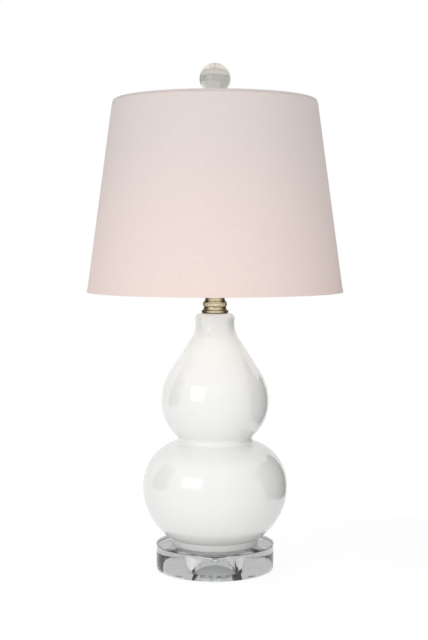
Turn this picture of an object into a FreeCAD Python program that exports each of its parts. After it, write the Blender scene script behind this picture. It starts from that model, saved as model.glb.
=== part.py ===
import FreeCAD, Part
import math
import os
import Sketcher

# Double gourd lamp on a clear round base, with a harp-mounted drum shade and a crystal ball finial.
# Millimetres. The frame's origin is on the table under the lamp's axis, +Z up, +Y to the back.

V = FreeCAD.Vector
doc = FreeCAD.newDocument("double_gourd_lamp")
sheet = doc.addObject("Spreadsheet::Sheet", "Sizes")
places = doc.addObject("App::VarSet", "Places")

SIZES = (
    # clear base and its bumpers
    ("base_diameter", 152.4),
    ("base_thickness", 31.75),
    ("base_edge", 0.8),
    ("nut_recess_diameter", 52),
    ("nut_recess_depth", 18),
    ("bumper_diameter", 10),
    ("bumper_height", 1.6),
    ("bumper_circle", 118),
    ("bumper_count", 4),
    # threaded rod and what it clamps
    ("rod_diameter", 9.8),
    ("rod_bore", 6.5),
    ("rod_overhang", 2.5),
    ("rod_hole_clearance", 0.4),
    ("thread_clearance", 0.05),
    ("washer_diameter", 32),
    ("washer_thickness", 1.5),
    ("nut_across_flats", 14.3),
    ("nut_thickness", 4),
    # ceramic double gourd: radii, the rise from each level to the next and the arcs between them
    ("belly_radius", 94),
    ("belly_height", 76.2),
    ("side_arc", 82),
    ("waist_radius", 48.9),
    ("waist_rise", 61),
    ("waist_arc", 5.4),
    ("crown_radius", 70),
    ("crown_rise", 47.1),
    ("crown_arc", 74.3),
    ("neck_radius", 25.4),
    ("neck_rise", 101.5),
    ("neck_arc", 35.3),
    ("lip_flare", 0.6),
    ("lip_rise", 6),
    ("lip_arc", 7.5),
    ("shell_wall", 5),
    ("mouth_radius", 13),
    ("foot_height", 10),
    ("foot_step", 2),
    ("foot_taper", 2.7),
    ("foot_width", 8),
    ("foot_recess", 3),
    ("floor_thickness", 6),
    ("floor_hole_clearance", 1.6),
    # cord outlet low in the back of the gourd
    ("cord_hole_angle", 34),
    ("cord_hole_diameter", 11),
    ("cord_bore", 6.8),
    ("grommet_flange_diameter", 16),
    ("grommet_flange_thickness", 1.6),
    ("grommet_clearance", 0.1),
    ("grommet_seat_relief", 0.6),
    # turned brass neck
    ("cap_radius", 17.7),
    ("cap_rim", 2),
    ("cap_height", 7.5),
    ("cap_top_radius", 14.6),
    ("cap_plug_depth", 4),
    ("cap_plug_clearance", 0.4),
    ("collar_radius", 15.5),
    ("collar_end_radius", 13.9),
    ("collar_height", 8),
    ("knurl_diameter", 1.1),
    ("knurl_count", 44),
    ("cone_bottom_radius", 13.4),
    ("cone_top_radius", 11.2),
    ("cone_height", 11.5),
    # harp saddle, harp and sleeves
    ("saddle_width", 16),
    ("saddle_thickness", 1.5),
    ("saddle_bend", 3),
    ("tongue_width", 5.6),
    ("tongue_height", 14),
    ("harp_foot_spacing", 56),
    ("harp_height", 238.2),
    ("harp_wire", 3.2),
    ("harp_width", 116),
    ("harp_widest_height", 112),
    ("harp_leg_height", 44),
    ("harp_leg_bend", 30),
    ("harp_shoulder_bend", 26),
    ("harp_flat", 20),
    ("harp_foot_diameter", 6),
    ("harp_foot_length", 6),
    ("harp_plate_diameter", 18),
    ("harp_plate_thickness", 2.4),
    ("sleeve_diameter", 8.6),
    ("sleeve_bore", 6.6),
    ("sleeve_roof", 1.5),
    ("seat_gap", 0.3),
    ("running_clearance", 0.05),
    ("cut_overrun", 1),
    # saddle nut, socket and switch
    ("saddle_nut_diameter", 17),
    ("saddle_nut_thickness", 2.5),
    ("socket_cap_radius", 17),
    ("socket_cap_height", 16),
    ("socket_cap_wall", 0.8),
    ("socket_cap_bend", 5),
    ("socket_boss_radius", 7.5),
    ("socket_boss_height", 8),
    ("socket_shell_height", 44),
    ("socket_shell_overlap", 6),
    ("socket_shell_wall", 0.7),
    ("liner_wall", 0.8),
    ("nesting_clearance", 0.1),
    ("socket_body_height", 16),
    ("screw_shell_height", 24),
    ("screw_shell_wall", 0.5),
    ("contact_diameter", 6),
    ("contact_height", 2.4),
    ("contact_gap", 2),
    ("set_screw_diameter", 3),
    ("set_screw_stand", 1.5),
    ("switch_shaft_diameter", 3.2),
    ("switch_shaft_depth", 9.6),
    ("switch_hole_diameter", 6),
    ("switch_knob_diameter", 9.5),
    ("switch_knob_length", 14),
    ("switch_knob_gap", 2),
    ("flute_diameter", 1.2),
    ("flute_count", 14),
    # bulb
    ("bulb_cap_radius", 13),
    ("bulb_cap_length", 24),
    ("bulb_cap_wall", 0.4),
    ("bulb_tip_radius", 2.4),
    ("bulb_tip_height", 1.2),
    ("insulator_height", 4),
    ("insulator_tip_radius", 4),
    ("globe_radius", 30),
    ("globe_wall", 0.9),
    ("globe_neck_height", 51),
    ("globe_insert", 6),
    ("stem_foot_height", 1.2),
    ("stem_taper_height", 12),
    ("stem_radius", 2),
    ("filament_length", 32),
    ("filament_diameter", 1.6),
    ("filament_circle", 13),
    ("filament_count", 4),
    ("filament_plate_thickness", 0.8),
    # swivel stud
    ("stud_diameter", 6.2),
    ("stud_length", 12),
    ("stud_shank_diameter", 7.2),
    ("stud_shoulder_diameter", 11),
    ("stud_shoulder_height", 1.5),
    ("stud_head_height", 1.2),
    # shade
    ("shade_bottom_diameter", 330.2),
    ("shade_top_diameter", 263.6),
    ("shade_height", 247.5),
    ("shade_shoulder", 8),
    ("fabric_thickness", 0.6),
    ("shade_liner_thickness", 0.9),
    ("trim_thickness", 0.4),
    ("top_trim_width", 3),
    ("bottom_trim_width", 4),
    ("ring_wire", 2.6),
    ("spider_drop", 8.1),
    ("spider_wire", 3.2),
    ("spider_rise_bend", 3),
    ("spider_count", 3),
    ("hub_diameter", 20),
    ("hub_thickness", 3.2),
    ("hub_hole_clearance", 0.4),
    # finial
    ("ball_diameter", 40),
    ("finial_height", 11.3),
    ("finial_foot_radius", 7.5),
    ("finial_foot_height", 2),
    ("finial_waist_radius", 5.2),
    ("finial_cup_radius", 8.5),
    ("finial_cup_depth", 1.2),
    ("glue_line", 0.05),
)
for line, (size_name, size_value) in enumerate(SIZES, 1):
    sheet.set(f"A{line}", str(size_value))
    sheet.setAlias(f"A{line}", size_name)
doc.recompute()


def number(expression):
    """What an expression on the sizes comes to."""
    return float(sheet.evalExpression(str(expression)))


def derive(name, expression):
    """Keeps a value that follows from the sizes, and returns the words that read it."""
    places.addProperty("App::PropertyFloat", name)
    places.setExpression(name, expression)
    setattr(places, name, number(expression))
    return f"Places.{name}"


def new_body(name):
    body = doc.addObject("PartDesign::Body", name)
    body.Label = name
    return body


def origin_part(body, role):
    return next(part for part in body.Origin.OriginFeatures if part.Role == role)


def new_sketch(body, name, plane, lift=None):
    """A sketch on one of the body's own planes, raised along its normal by lift."""
    sketch = body.newObject("Sketcher::SketchObject", name)
    sketch.AttachmentSupport = [(origin_part(body, plane), "")]
    sketch.MapMode = "FlatFace"
    if lift is not None:
        sketch.setExpression("AttachmentOffset.Base.z", lift)
    return sketch


def pin(sketch, edge, point, across, along):
    """Ties a point of an edge to its two coordinates from the sketch's origin."""
    for kind, expression in (("DistanceX", across), ("DistanceY", along)):
        tie = Sketcher.Constraint(kind, -1, 1, edge, point, number(expression))
        row = sketch.addConstraint(tie)
        sketch.setExpression(f"Constraints[{row}]", expression)


def set_radius(sketch, edge, expression):
    row = sketch.addConstraint(Sketcher.Constraint("Radius", edge, number(expression)))
    sketch.setExpression(f"Constraints[{row}]", expression)


def arc_between(start, end, radius, turn):
    """The short arc from start to end, turning left for turn 1 and right for turn -1."""
    chord = end - start
    reach = math.sqrt(max(radius ** 2 - chord.Length ** 2 / 4, 0))
    centre = (start + end) * 0.5 + V(-chord.y, chord.x, 0).normalize() * reach * turn
    first, last = (start, end) if turn > 0 else (end, start)
    angles = [math.atan2(point.y - centre.y, point.x - centre.x) for point in (first, last)]
    return Part.ArcOfCircle(Part.Circle(centre, V(0, 0, 1), radius), angles[0], angles[1])


def draw(sketch, corners, closed=True):
    """Edges through corners (x, y); a corner (x, y, radius, turn) is reached by an arc."""
    spots = [V(number(corner[0]), number(corner[1]), 0) for corner in corners]
    first = 0 if closed else 1
    ends = []
    for index in range(first, len(corners)):
        start, end = spots[index - 1], spots[index]
        corner = corners[index]
        if len(corner) == 2:
            sketch.addGeometry(Part.LineSegment(start, end), False)
            ends.append((1, 2))
            continue
        edge = sketch.addGeometry(arc_between(start, end, number(corner[2]), corner[3]), False)
        ends.append((1, 2) if corner[3] > 0 else (2, 1))
        set_radius(sketch, edge, corner[2])
    for edge in range(len(ends)):
        pin(sketch, edge, ends[edge][1], corners[first + edge][0], corners[first + edge][1])
        following = (edge + 1) % len(ends)
        if closed or following:
            join = Sketcher.Constraint("Coincident", edge, ends[edge][1], following, ends[following][0])
            sketch.addConstraint(join)
    if not closed:
        pin(sketch, 0, ends[0][0], corners[0][0], corners[0][1])


def circle(sketch, radius, across="0", along="0"):
    edge = sketch.addGeometry(Part.Circle(V(number(across), number(along), 0), V(0, 0, 1), number(radius)))
    pin(sketch, edge, 3, across, along)
    set_radius(sketch, edge, radius)


def revolve(body, name, corners):
    """Turns an outline in the XZ plane about the body's Z axis."""
    sketch = new_sketch(body, name + "_outline", "XZ_Plane")
    draw(sketch, corners)
    feature = body.newObject("PartDesign::Revolution", name)
    feature.Profile = sketch
    feature.ReferenceAxis = (sketch, ["V_Axis"])
    feature.Angle = 360
    body.Tip = feature
    return feature


def turned(name, corners):
    body = new_body(name)
    revolve(body, name + "_turned", corners)
    return body


def ring(name, inner, outer, bottom, top):
    """A plain turned ring."""
    return turned(name, [(inner, bottom), (outer, bottom), (outer, top), (inner, top)])


def pad(body, sketch, name, length):
    feature = body.newObject("PartDesign::Pad", name)
    feature.Profile = sketch
    feature.setExpression("Length", length)
    body.Tip = feature
    return feature


def pocket(body, sketch, name, length):
    """Cuts along the sketch's normal, away from its plane."""
    feature = body.newObject("PartDesign::Pocket", name)
    feature.Profile = sketch
    feature.Reversed = True
    feature.setExpression("Length", length)
    body.Tip = feature
    return feature


def around(body, feature, name, count):
    """Repeats a feature about the body's Z axis."""
    pattern = body.newObject("PartDesign::PolarPattern", name)
    pattern.Originals = [feature]
    pattern.Axis = (origin_part(body, "Z_Axis"), [""])
    pattern.Angle = 360
    pattern.setExpression("Occurrences", count)
    body.Tip = pattern
    return pattern


def mirrored(body, feature, name, plane):
    mirror = body.newObject("PartDesign::Mirrored", name)
    mirror.Originals = [feature]
    mirror.MirrorPlane = (origin_part(body, plane), [""])
    body.Tip = mirror
    return mirror


def backwards(run):
    """The same run of corners from its far end, each arc kept between its two corners."""
    flipped = [run[-1][:2]]
    for before, after in zip(reversed(run[:-1]), reversed(run[1:])):
        arc = (after[2], -after[3]) if len(after) > 2 else ()
        flipped.append(before[:2] + arc)
    return flipped


def meeting(centre_a, radius_a, centre_b, radius_b):
    """Where two arcs that touch from outside meet, as a pair of expressions."""
    share = f"({radius_a}) / (({radius_a}) + ({radius_b}))"
    return tuple(f"{a} + ({b} - ({a})) * {share}" for a, b in zip(centre_a, centre_b))


def tangent_sum(wide_radius, wide_height, narrow_radius, narrow_height):
    """The radii's sum for two touching arcs, one upright at the wide point, one at the narrow."""
    step = f"({wide_radius} - {narrow_radius})"
    rise = f"({wide_height} - {narrow_height})"
    return f"({step} * {step} + {rise} * {rise}) / (2 * {step})"


# ---------------------------------------------------------------- clear base

base_bottom = "Sizes.bumper_height"
base_top = derive("base_top", "Sizes.bumper_height + Sizes.base_thickness")
rod_radius = derive("rod_radius", "Sizes.rod_diameter / 2")
rod_hole = derive("rod_hole", f"{rod_radius} + Sizes.rod_hole_clearance")
thread_hole = derive("thread_hole", f"{rod_radius} + Sizes.thread_clearance")
recess_top = derive("recess_top", f"{base_bottom} + Sizes.nut_recess_depth")


def make_base():
    """Cast acrylic disc, bored for the rod and counterbored for its nut."""
    outer = "Sizes.base_diameter / 2"
    edge = "Sizes.base_edge"
    recess = "Sizes.nut_recess_diameter / 2"
    turned("acrylic_base", [
        (recess, base_bottom),
        (f"{outer} - {edge}", base_bottom),
        (outer, f"{base_bottom} + {edge}", edge, 1),
        (outer, f"{base_top} - {edge}"),
        (f"{outer} - {edge}", base_top, edge, 1),
        (rod_hole, base_top),
        (rod_hole, recess_top),
        (recess, recess_top),
    ])


def make_bumpers():
    """Clear stick-on bumpers under the base, flat where they stand on the table."""
    body = new_body("bumper_feet")
    spot = new_sketch(body, "bumper_spot", "XY_Plane")
    circle(spot, "Sizes.bumper_diameter / 2", "Sizes.bumper_circle / 2")
    foot = pad(body, spot, "bumper", "Sizes.bumper_height")
    around(body, foot, "bumper_ring", "Sizes.bumper_count")
    body.Placement.Rotation = FreeCAD.Rotation(V(0, 0, 1), 45)


def make_rod_and_base_nut():
    """Hollow threaded rod from the base nut up to the socket cap."""
    washer_bottom = derive("washer_bottom", f"{recess_top} - Sizes.washer_thickness")
    nut_bottom = derive("nut_bottom", f"{washer_bottom} - Sizes.nut_thickness")
    ring("base_washer", rod_hole, "Sizes.washer_diameter / 2", washer_bottom, recess_top)
    ring("threaded_rod", "Sizes.rod_bore / 2", rod_radius, f"{nut_bottom} - Sizes.rod_overhang", rod_top)
    hexagon = doc.addObject("Part::Prism", "nut_hexagon")
    hexagon.Polygon = 6
    hexagon.setExpression("Circumradius", "Sizes.nut_across_flats / sqrt(3)")
    hexagon.setExpression("Height", "Sizes.nut_thickness")
    bore = doc.addObject("Part::Cylinder", "nut_bore")
    bore.setExpression("Radius", thread_hole)
    bore.setExpression("Height", "Sizes.nut_thickness")
    nut = doc.addObject("Part::Cut", "base_nut")
    nut.Label = "base_nut"
    nut.Base = hexagon
    nut.Tool = bore
    nut.setExpression("Placement.Base.z", nut_bottom)


# ---------------------------------------------------------------- ceramic gourd

belly_z = derive("belly_z", f"{base_top} + Sizes.belly_height")
waist_z = derive("waist_z", f"{belly_z} + Sizes.waist_rise")
crown_z = derive("crown_z", f"{waist_z} + Sizes.crown_rise")
neck_z = derive("neck_z", f"{crown_z} + Sizes.neck_rise")
lip_z = derive("lip_z", f"{neck_z} + Sizes.lip_rise")
lip_radius = derive("lip_radius", "Sizes.neck_radius + Sizes.lip_flare")
mouth_z = derive("mouth_z", f"{lip_z} + Sizes.lip_arc")
foot_z = derive("foot_z", f"{base_top} + Sizes.foot_height")
floor_z = derive("floor_z", f"{base_top} + Sizes.foot_recess + Sizes.floor_thickness")
side_centre = derive("side_centre", "Sizes.belly_radius - Sizes.side_arc")
belly_arc = derive("belly_arc", tangent_sum(
    "Sizes.belly_radius", belly_z, "Sizes.waist_radius", waist_z) + " - Sizes.waist_arc")
crown_low_arc = derive("crown_low_arc", tangent_sum(
    "Sizes.crown_radius", crown_z, "Sizes.waist_radius", waist_z) + " - Sizes.waist_arc")
neck_top_arc = derive("neck_top_arc", tangent_sum(
    lip_radius, lip_z, "Sizes.neck_radius", neck_z) + " - Sizes.lip_arc")
belly_centre = derive("belly_centre", f"Sizes.belly_radius - {belly_arc}")
waist_centre = derive("waist_centre", "Sizes.waist_radius + Sizes.waist_arc")
crown_low_centre = derive("crown_low_centre", f"Sizes.crown_radius - {crown_low_arc}")
crown_centre = derive("crown_centre", "Sizes.crown_radius - Sizes.crown_arc")
neck_centre = derive("neck_centre", "Sizes.neck_radius + Sizes.neck_arc")
neck_top_centre = derive("neck_top_centre", f"Sizes.neck_radius + {neck_top_arc}")
lip_centre = derive("lip_centre", f"{lip_radius} - Sizes.lip_arc")

# The straight shoulder runs square to (shoulder_x, shoulder_z), from the crown's arc to the neck's.
span_x = derive("span_x", f"{neck_centre} - {crown_centre}")
span_z = derive("span_z", f"{neck_z} - {crown_z}")
span_arcs = derive("span_arcs", "Sizes.crown_arc + Sizes.neck_arc")
span_square = derive("span_square", f"{span_x} * {span_x} + {span_z} * {span_z}")
span_side = derive("span_side", f"sqrt({span_square} - {span_arcs} * {span_arcs})")
shoulder_x = derive("shoulder_x", f"({span_x} * {span_arcs} + {span_z} * {span_side}) / {span_square}")
shoulder_z = derive("shoulder_z", f"({span_z} * {span_arcs} - {span_x} * {span_side}) / {span_square}")


def gourd_skin(inset, start_z):
    """The gourd's side moved inwards by inset: from start_z to the waist, and from there to the lip."""
    drop = f"({belly_z} - ({start_z}))"
    side = f"(Sizes.side_arc - {inset})"
    bulge = {name: f"({name} - {inset})" for name in (belly_arc, crown_low_arc)}
    hollow = {name: f"({name} + {inset})" for name in ("Sizes.waist_arc", "Sizes.neck_arc", neck_top_arc)}
    crown = f"(Sizes.crown_arc - {inset})"
    lip = f"(Sizes.lip_arc - {inset})"
    waist = hollow["Sizes.waist_arc"]
    neck = hollow["Sizes.neck_arc"]
    at_waist = (waist_centre, waist_z)
    narrowest = (f"Sizes.waist_radius - {inset}", waist_z)
    lower = [
        (f"{side_centre} + sqrt({side} * {side} - {drop} * {drop})", start_z),
        (f"Sizes.belly_radius - {inset}", belly_z, side, 1),
        meeting((belly_centre, belly_z), bulge[belly_arc], at_waist, waist) + (bulge[belly_arc], 1),
        narrowest + (waist, -1),
    ]
    upper = [
        narrowest,
        meeting((crown_low_centre, crown_z), bulge[crown_low_arc], at_waist, waist) + (waist, -1),
        (f"Sizes.crown_radius - {inset}", crown_z, bulge[crown_low_arc], 1),
        (f"{crown_centre} + {crown} * {shoulder_x}", f"{crown_z} + {crown} * {shoulder_z}", crown, 1),
        (f"{neck_centre} - {neck} * {shoulder_x}", f"{neck_z} - {neck} * {shoulder_z}"),
        (f"Sizes.neck_radius - {inset}", neck_z, neck, -1),
        meeting((lip_centre, lip_z), lip, (neck_top_centre, neck_z), hollow[neck_top_arc])
        + (hollow[neck_top_arc], -1),
        (f"{lip_radius} - {inset}", lip_z, lip, 1),
        (lip_centre, f"{lip_z} + {lip}", lip, 1),
    ]
    return lower, upper


def make_gourd():
    """Shell of even wall in two halves luted at the waist, the lower one on a stepped foot ring."""
    lower_outside, upper_outside = gourd_skin("0", foot_z)
    lower_inside, upper_inside = gourd_skin("Sizes.shell_wall", floor_z)
    floor_hole = f"{rod_radius} + Sizes.floor_hole_clearance"
    foot_top = derive("foot_top_radius", f"{lower_outside[0][0]} - Sizes.foot_step")
    foot_bottom = derive("foot_bottom_radius", f"{foot_top} - Sizes.foot_taper")
    recess_z = f"{base_top} + Sizes.foot_recess"
    lower = turned("lower_gourd", [
        (floor_hole, recess_z),
        (f"{foot_bottom} - Sizes.foot_width", recess_z),
        (f"{foot_bottom} - Sizes.foot_width", base_top),
        (foot_bottom, base_top),
        (foot_top, f"{foot_z} - Sizes.foot_step / 2"),
        *lower_outside,
        *backwards(lower_inside),
        (floor_hole, floor_z),
    ])
    turned("upper_gourd", [
        *upper_outside,
        ("Sizes.mouth_radius", mouth_z),
        ("Sizes.mouth_radius", f"{mouth_z} - Sizes.shell_wall"),
        *backwards(upper_inside),
    ])
    drill = new_sketch(lower, "cord_hole_circle", "XY_Plane", belly_z)
    drill.AttachmentOffset.Rotation = FreeCAD.Rotation(V(-1, 0, 0), 90)
    drill.setExpression("AttachmentOffset.Base.y", side_centre)
    drill.setExpression("AttachmentOffset.Rotation.Angle", "(90 + Sizes.cord_hole_angle) * 1 deg")
    circle(drill, "Sizes.cord_hole_diameter / 2")
    pocket(lower, drill, "cord_hole", "Sizes.side_arc + Sizes.shell_wall")


def make_grommet():
    """Rubber bush in the cord hole, with a flange on each face of the wall."""
    bore = "Sizes.cord_bore / 2"
    neck = "Sizes.cord_hole_diameter / 2 - Sizes.grommet_clearance"
    flange = "Sizes.grommet_flange_diameter / 2"
    outer_seat = "Sizes.side_arc"
    inner_seat = "Sizes.side_arc - Sizes.shell_wall - Sizes.grommet_seat_relief"
    thick = "Sizes.grommet_flange_thickness"
    body = turned("cord_grommet", [
        (bore, f"{inner_seat} - {thick}"),
        (flange, f"{inner_seat} - {thick}"),
        (flange, inner_seat),
        (neck, inner_seat),
        (neck, outer_seat),
        (flange, outer_seat),
        (flange, f"{outer_seat} + {thick} / 2"),
        (f"{flange} - {thick} / 2", f"{outer_seat} + {thick}", f"{thick} / 2", 1),
        (bore, f"{outer_seat} + {thick}"),
    ])
    body.Placement.Rotation = FreeCAD.Rotation(V(-1, 0, 0), 90)
    body.setExpression("Placement.Base.y", side_centre)
    body.setExpression("Placement.Base.z", belly_z)
    body.setExpression("Placement.Rotation.Angle", "(90 + Sizes.cord_hole_angle) * 1 deg")


# ---------------------------------------------------------------- brass neck

cap_z = derive("cap_z", f"{mouth_z} + Sizes.cap_height")
collar_z = derive("collar_z", f"{cap_z} + Sizes.collar_height")
saddle_z = derive("saddle_z", f"{collar_z} + Sizes.cone_height")


def make_vase_cap():
    """Turned cap with a rolled rim over the mouth and a plug that centres it."""
    plug = "Sizes.mouth_radius - Sizes.cap_plug_clearance"
    rim = "Sizes.cap_rim"
    rim_top = f"{mouth_z} + 2 * {rim}"
    rise = f"({cap_z} - ({rim_top}))"
    step = f"(Sizes.cap_radius - {rim} - Sizes.cap_top_radius)"
    flare = f"({rise} * {rise} + {step} * {step}) / (2 * {step})"
    turned("vase_cap", [
        (rod_hole, f"{mouth_z} - Sizes.cap_plug_depth"),
        (plug, f"{mouth_z} - Sizes.cap_plug_depth"),
        (plug, mouth_z),
        (f"Sizes.cap_radius - {rim}", mouth_z),
        ("Sizes.cap_radius", f"{mouth_z} + {rim}", rim, 1),
        (f"Sizes.cap_radius - {rim}", rim_top, rim, 1),
        ("Sizes.cap_top_radius", cap_z, flare, -1),
        (rod_hole, cap_z),
    ])


def make_collar():
    """Bulging collar, knurled all round."""
    half = "(Sizes.collar_height / 2)"
    bulge = "(Sizes.collar_radius - Sizes.collar_end_radius)"
    crown = f"({half} * {half} + {bulge} * {bulge}) / (2 * {bulge})"
    body = turned("knurled_collar", [
        (rod_hole, cap_z),
        ("Sizes.collar_end_radius", cap_z),
        ("Sizes.collar_end_radius", collar_z, crown, 1),
        (rod_hole, collar_z),
    ])
    flute = new_sketch(body, "knurl_circle", "XY_Plane", cap_z)
    circle(flute, "Sizes.knurl_diameter / 2", "Sizes.collar_radius")
    cut = pocket(body, flute, "knurl", "Sizes.collar_height")
    around(body, cut, "knurl_ring", "Sizes.knurl_count")


def make_cone():
    """Tapered neck that carries the harp saddle."""
    turned("neck_cone", [
        (rod_hole, collar_z),
        ("Sizes.cone_bottom_radius", collar_z),
        ("Sizes.cone_top_radius", saddle_z),
        (rod_hole, saddle_z),
    ])


# ---------------------------------------------------------------- harp saddle, harp and sleeves

leg_x = derive("leg_x", "Sizes.harp_foot_spacing / 2")
saddle_top = derive("saddle_top", f"{saddle_z} + Sizes.saddle_thickness")
tongue_root = derive("tongue_root", f"{saddle_top} + Sizes.saddle_bend")
tongue_top = derive("tongue_top", f"{saddle_z} + Sizes.tongue_height")
harp_foot_z = derive("harp_foot_z", f"{tongue_top} + Sizes.seat_gap")
harp_foot_top = derive("harp_foot_top", f"{harp_foot_z} + Sizes.harp_foot_length")
harp_top = derive("harp_top", f"{saddle_z} + Sizes.harp_height")
plate_bottom = derive("plate_bottom", f"{harp_top} - Sizes.harp_plate_thickness")
saddle_nut_top = derive("saddle_nut_top", f"{saddle_top} + Sizes.saddle_nut_thickness")


def make_saddle():
    """Steel strip on the rod, turned up at both ends into the tongues that hold the harp."""
    thick = "Sizes.saddle_thickness"
    bend = "Sizes.saddle_bend"
    outer = f"{leg_x} + {thick} / 2"
    inner = f"{leg_x} - {thick} / 2"
    body = new_body("harp_saddle")
    strip = new_sketch(body, "saddle_side", "XZ_Plane")
    draw(strip, [
        ("0", saddle_z),
        (f"{outer} - {bend} - {thick}", saddle_z),
        (outer, tongue_root, f"{bend} + {thick}", 1),
        (outer, tongue_top),
        (inner, tongue_top),
        (inner, tongue_root),
        (f"{inner} - {bend}", saddle_top, bend, -1),
        ("0", saddle_top),
    ])
    half = pad(body, strip, "saddle_half", "Sizes.saddle_width")
    half.Midplane = True
    mirrored(body, half, "saddle_whole", "YZ_Plane")
    doc.recompute()
    waste = new_sketch(body, "tongue_side", "YZ_Plane")
    draw(waste, [
        ("Sizes.tongue_width / 2", tongue_root),
        ("Sizes.saddle_width", tongue_root),
        ("Sizes.saddle_width", f"{tongue_top} + {thick}"),
        ("Sizes.tongue_width / 2", f"{tongue_top} + {thick}"),
    ])
    trim = pocket(body, waste, "tongue_cut", f"4 * {leg_x}")
    trim.Midplane = True
    mirrored(body, trim, "tongue_cuts", "XZ_Plane")
    hole = new_sketch(body, "saddle_hole_circle", "XY_Plane", saddle_z)
    circle(hole, rod_hole)
    pocket(body, hole, "saddle_hole", thick)


def make_harp():
    """Bent wire bow with swelled feet and a flattened top, bored for the swivel stud."""
    wide = "(Sizes.harp_width / 2)"
    wide_z = derive("harp_wide_z", f"{saddle_z} + Sizes.harp_widest_height")
    bend_z = derive("harp_bend_z", f"{saddle_z} + Sizes.harp_leg_height")
    flat_z = derive("harp_flat_z", f"{harp_top} - Sizes.harp_plate_thickness / 2")
    flat_x = "(Sizes.harp_flat / 2)"
    leg_bend = "Sizes.harp_leg_bend"
    shoulder = "Sizes.harp_shoulder_bend"
    low_arc = derive("harp_low_arc", tangent_sum(wide, wide_z, leg_x, bend_z) + f" - {leg_bend}")
    reach = f"({wide} - {flat_x})"
    rise = f"({flat_z} - {shoulder} - {wide_z})"
    high_arc = derive("harp_high_arc", f"({reach} * {reach} + {rise} * {rise} - {shoulder} * {shoulder})"
                      f" / (2 * ({reach} - {shoulder}))")
    high_x = derive("harp_high_x", f"{wide} - {high_arc}")
    share = f"{high_arc} / ({high_arc} - {shoulder})"
    low_join = meeting((f"{wide} - {low_arc}", wide_z), low_arc, (f"{leg_x} + {leg_bend}", bend_z), leg_bend)
    body = new_body("harp_bow")
    route = new_sketch(body, "harp_route", "XZ_Plane")
    draw(route, [
        (leg_x, harp_foot_z),
        (leg_x, bend_z),
        low_join + (leg_bend, -1),
        (wide, wide_z, low_arc, 1),
        (f"{high_x} + ({flat_x} - {high_x}) * {share}",
         f"{wide_z} + {rise} * {share}", high_arc, 1),
        (flat_x, flat_z, shoulder, 1),
        ("Sizes.stud_shoulder_diameter / 2 + Sizes.seat_gap", flat_z),
    ], closed=False)
    section = new_sketch(body, "harp_wire_circle", "XY_Plane", harp_foot_z)
    circle(section, "Sizes.harp_wire / 2", leg_x)
    bow = body.newObject("PartDesign::AdditivePipe", "harp_half")
    bow.Profile = section
    bow.Spine = (route, [])
    body.Tip = bow
    swell = new_sketch(body, "harp_foot_circle", "XY_Plane", harp_foot_z)
    circle(swell, "Sizes.harp_foot_diameter / 2", leg_x)
    foot = pad(body, swell, "harp_foot", "Sizes.harp_foot_length")
    both = body.newObject("PartDesign::Mirrored", "harp_whole")
    both.Originals = [bow, foot]
    both.MirrorPlane = (origin_part(body, "YZ_Plane"), [""])
    body.Tip = both
    doc.recompute()
    disc = new_sketch(body, "harp_plate_circle", "XY_Plane", plate_bottom)
    circle(disc, "Sizes.harp_plate_diameter / 2")
    pad(body, disc, "harp_plate", "Sizes.harp_plate_thickness")
    doc.recompute()
    eye = new_sketch(body, "stud_hole_circle", "XY_Plane", f"{plate_bottom} - Sizes.harp_wire")
    circle(eye, "Sizes.stud_shank_diameter / 2 + Sizes.running_clearance")
    pocket(body, eye, "stud_hole", "Sizes.harp_plate_thickness + 2 * Sizes.harp_wire")


def make_sleeve(name, side):
    """Ferrule that slides down the harp's leg over its foot and the saddle's tongue."""
    bottom = f"{tongue_root} + Sizes.seat_gap"
    top = f"{harp_foot_top} + Sizes.seat_gap + Sizes.sleeve_roof"
    body = turned(name, [
        ("Sizes.sleeve_bore / 2", bottom),
        ("Sizes.sleeve_diameter / 2", bottom),
        ("Sizes.sleeve_diameter / 2", top),
        ("Sizes.harp_wire / 2 + Sizes.seat_gap", top),
        ("Sizes.harp_wire / 2 + Sizes.seat_gap", f"{top} - Sizes.sleeve_roof"),
        ("Sizes.sleeve_bore / 2", f"{top} - Sizes.sleeve_roof"),
    ])
    body.setExpression("Placement.Base.x", f"{side} * {leg_x}")


# ---------------------------------------------------------------- socket and switch

cap_inner = derive("cap_inner", "Sizes.socket_cap_radius - Sizes.socket_cap_wall")
socket_outer = derive("socket_outer", f"{cap_inner} - Sizes.nesting_clearance")
socket_inner = derive("socket_inner", f"{socket_outer} - Sizes.socket_shell_wall")
liner_outer = derive("liner_outer", f"{socket_inner} - Sizes.nesting_clearance")
liner_inner = derive("liner_inner", f"{liner_outer} - Sizes.liner_wall")
body_radius = derive("body_radius", f"{liner_inner} - Sizes.nesting_clearance")
cap_top = derive("socket_cap_top", f"{saddle_nut_top} + Sizes.socket_cap_height")
shell_bottom = derive("shell_bottom", f"{cap_top} - Sizes.socket_shell_overlap")
shell_top = derive("shell_top", f"{shell_bottom} + Sizes.socket_shell_height")
rod_top = derive("rod_top", f"{saddle_nut_top} + Sizes.socket_boss_height")
screw_bore = derive("screw_bore", "Sizes.bulb_cap_radius + Sizes.running_clearance")
screw_bottom = derive("screw_bottom", f"{shell_top} - Sizes.nesting_clearance - Sizes.screw_shell_height")
body_bottom = derive("body_bottom", f"{screw_bottom} - Sizes.socket_body_height")
switch_z = derive("switch_z", f"{screw_bottom} - Sizes.socket_body_height / 2")
set_screw_z = derive("set_screw_z", f"{rod_top} - Sizes.set_screw_diameter")


def make_saddle_nut():
    ring("saddle_nut", thread_hole, "Sizes.saddle_nut_diameter / 2", saddle_top, saddle_nut_top)


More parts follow.
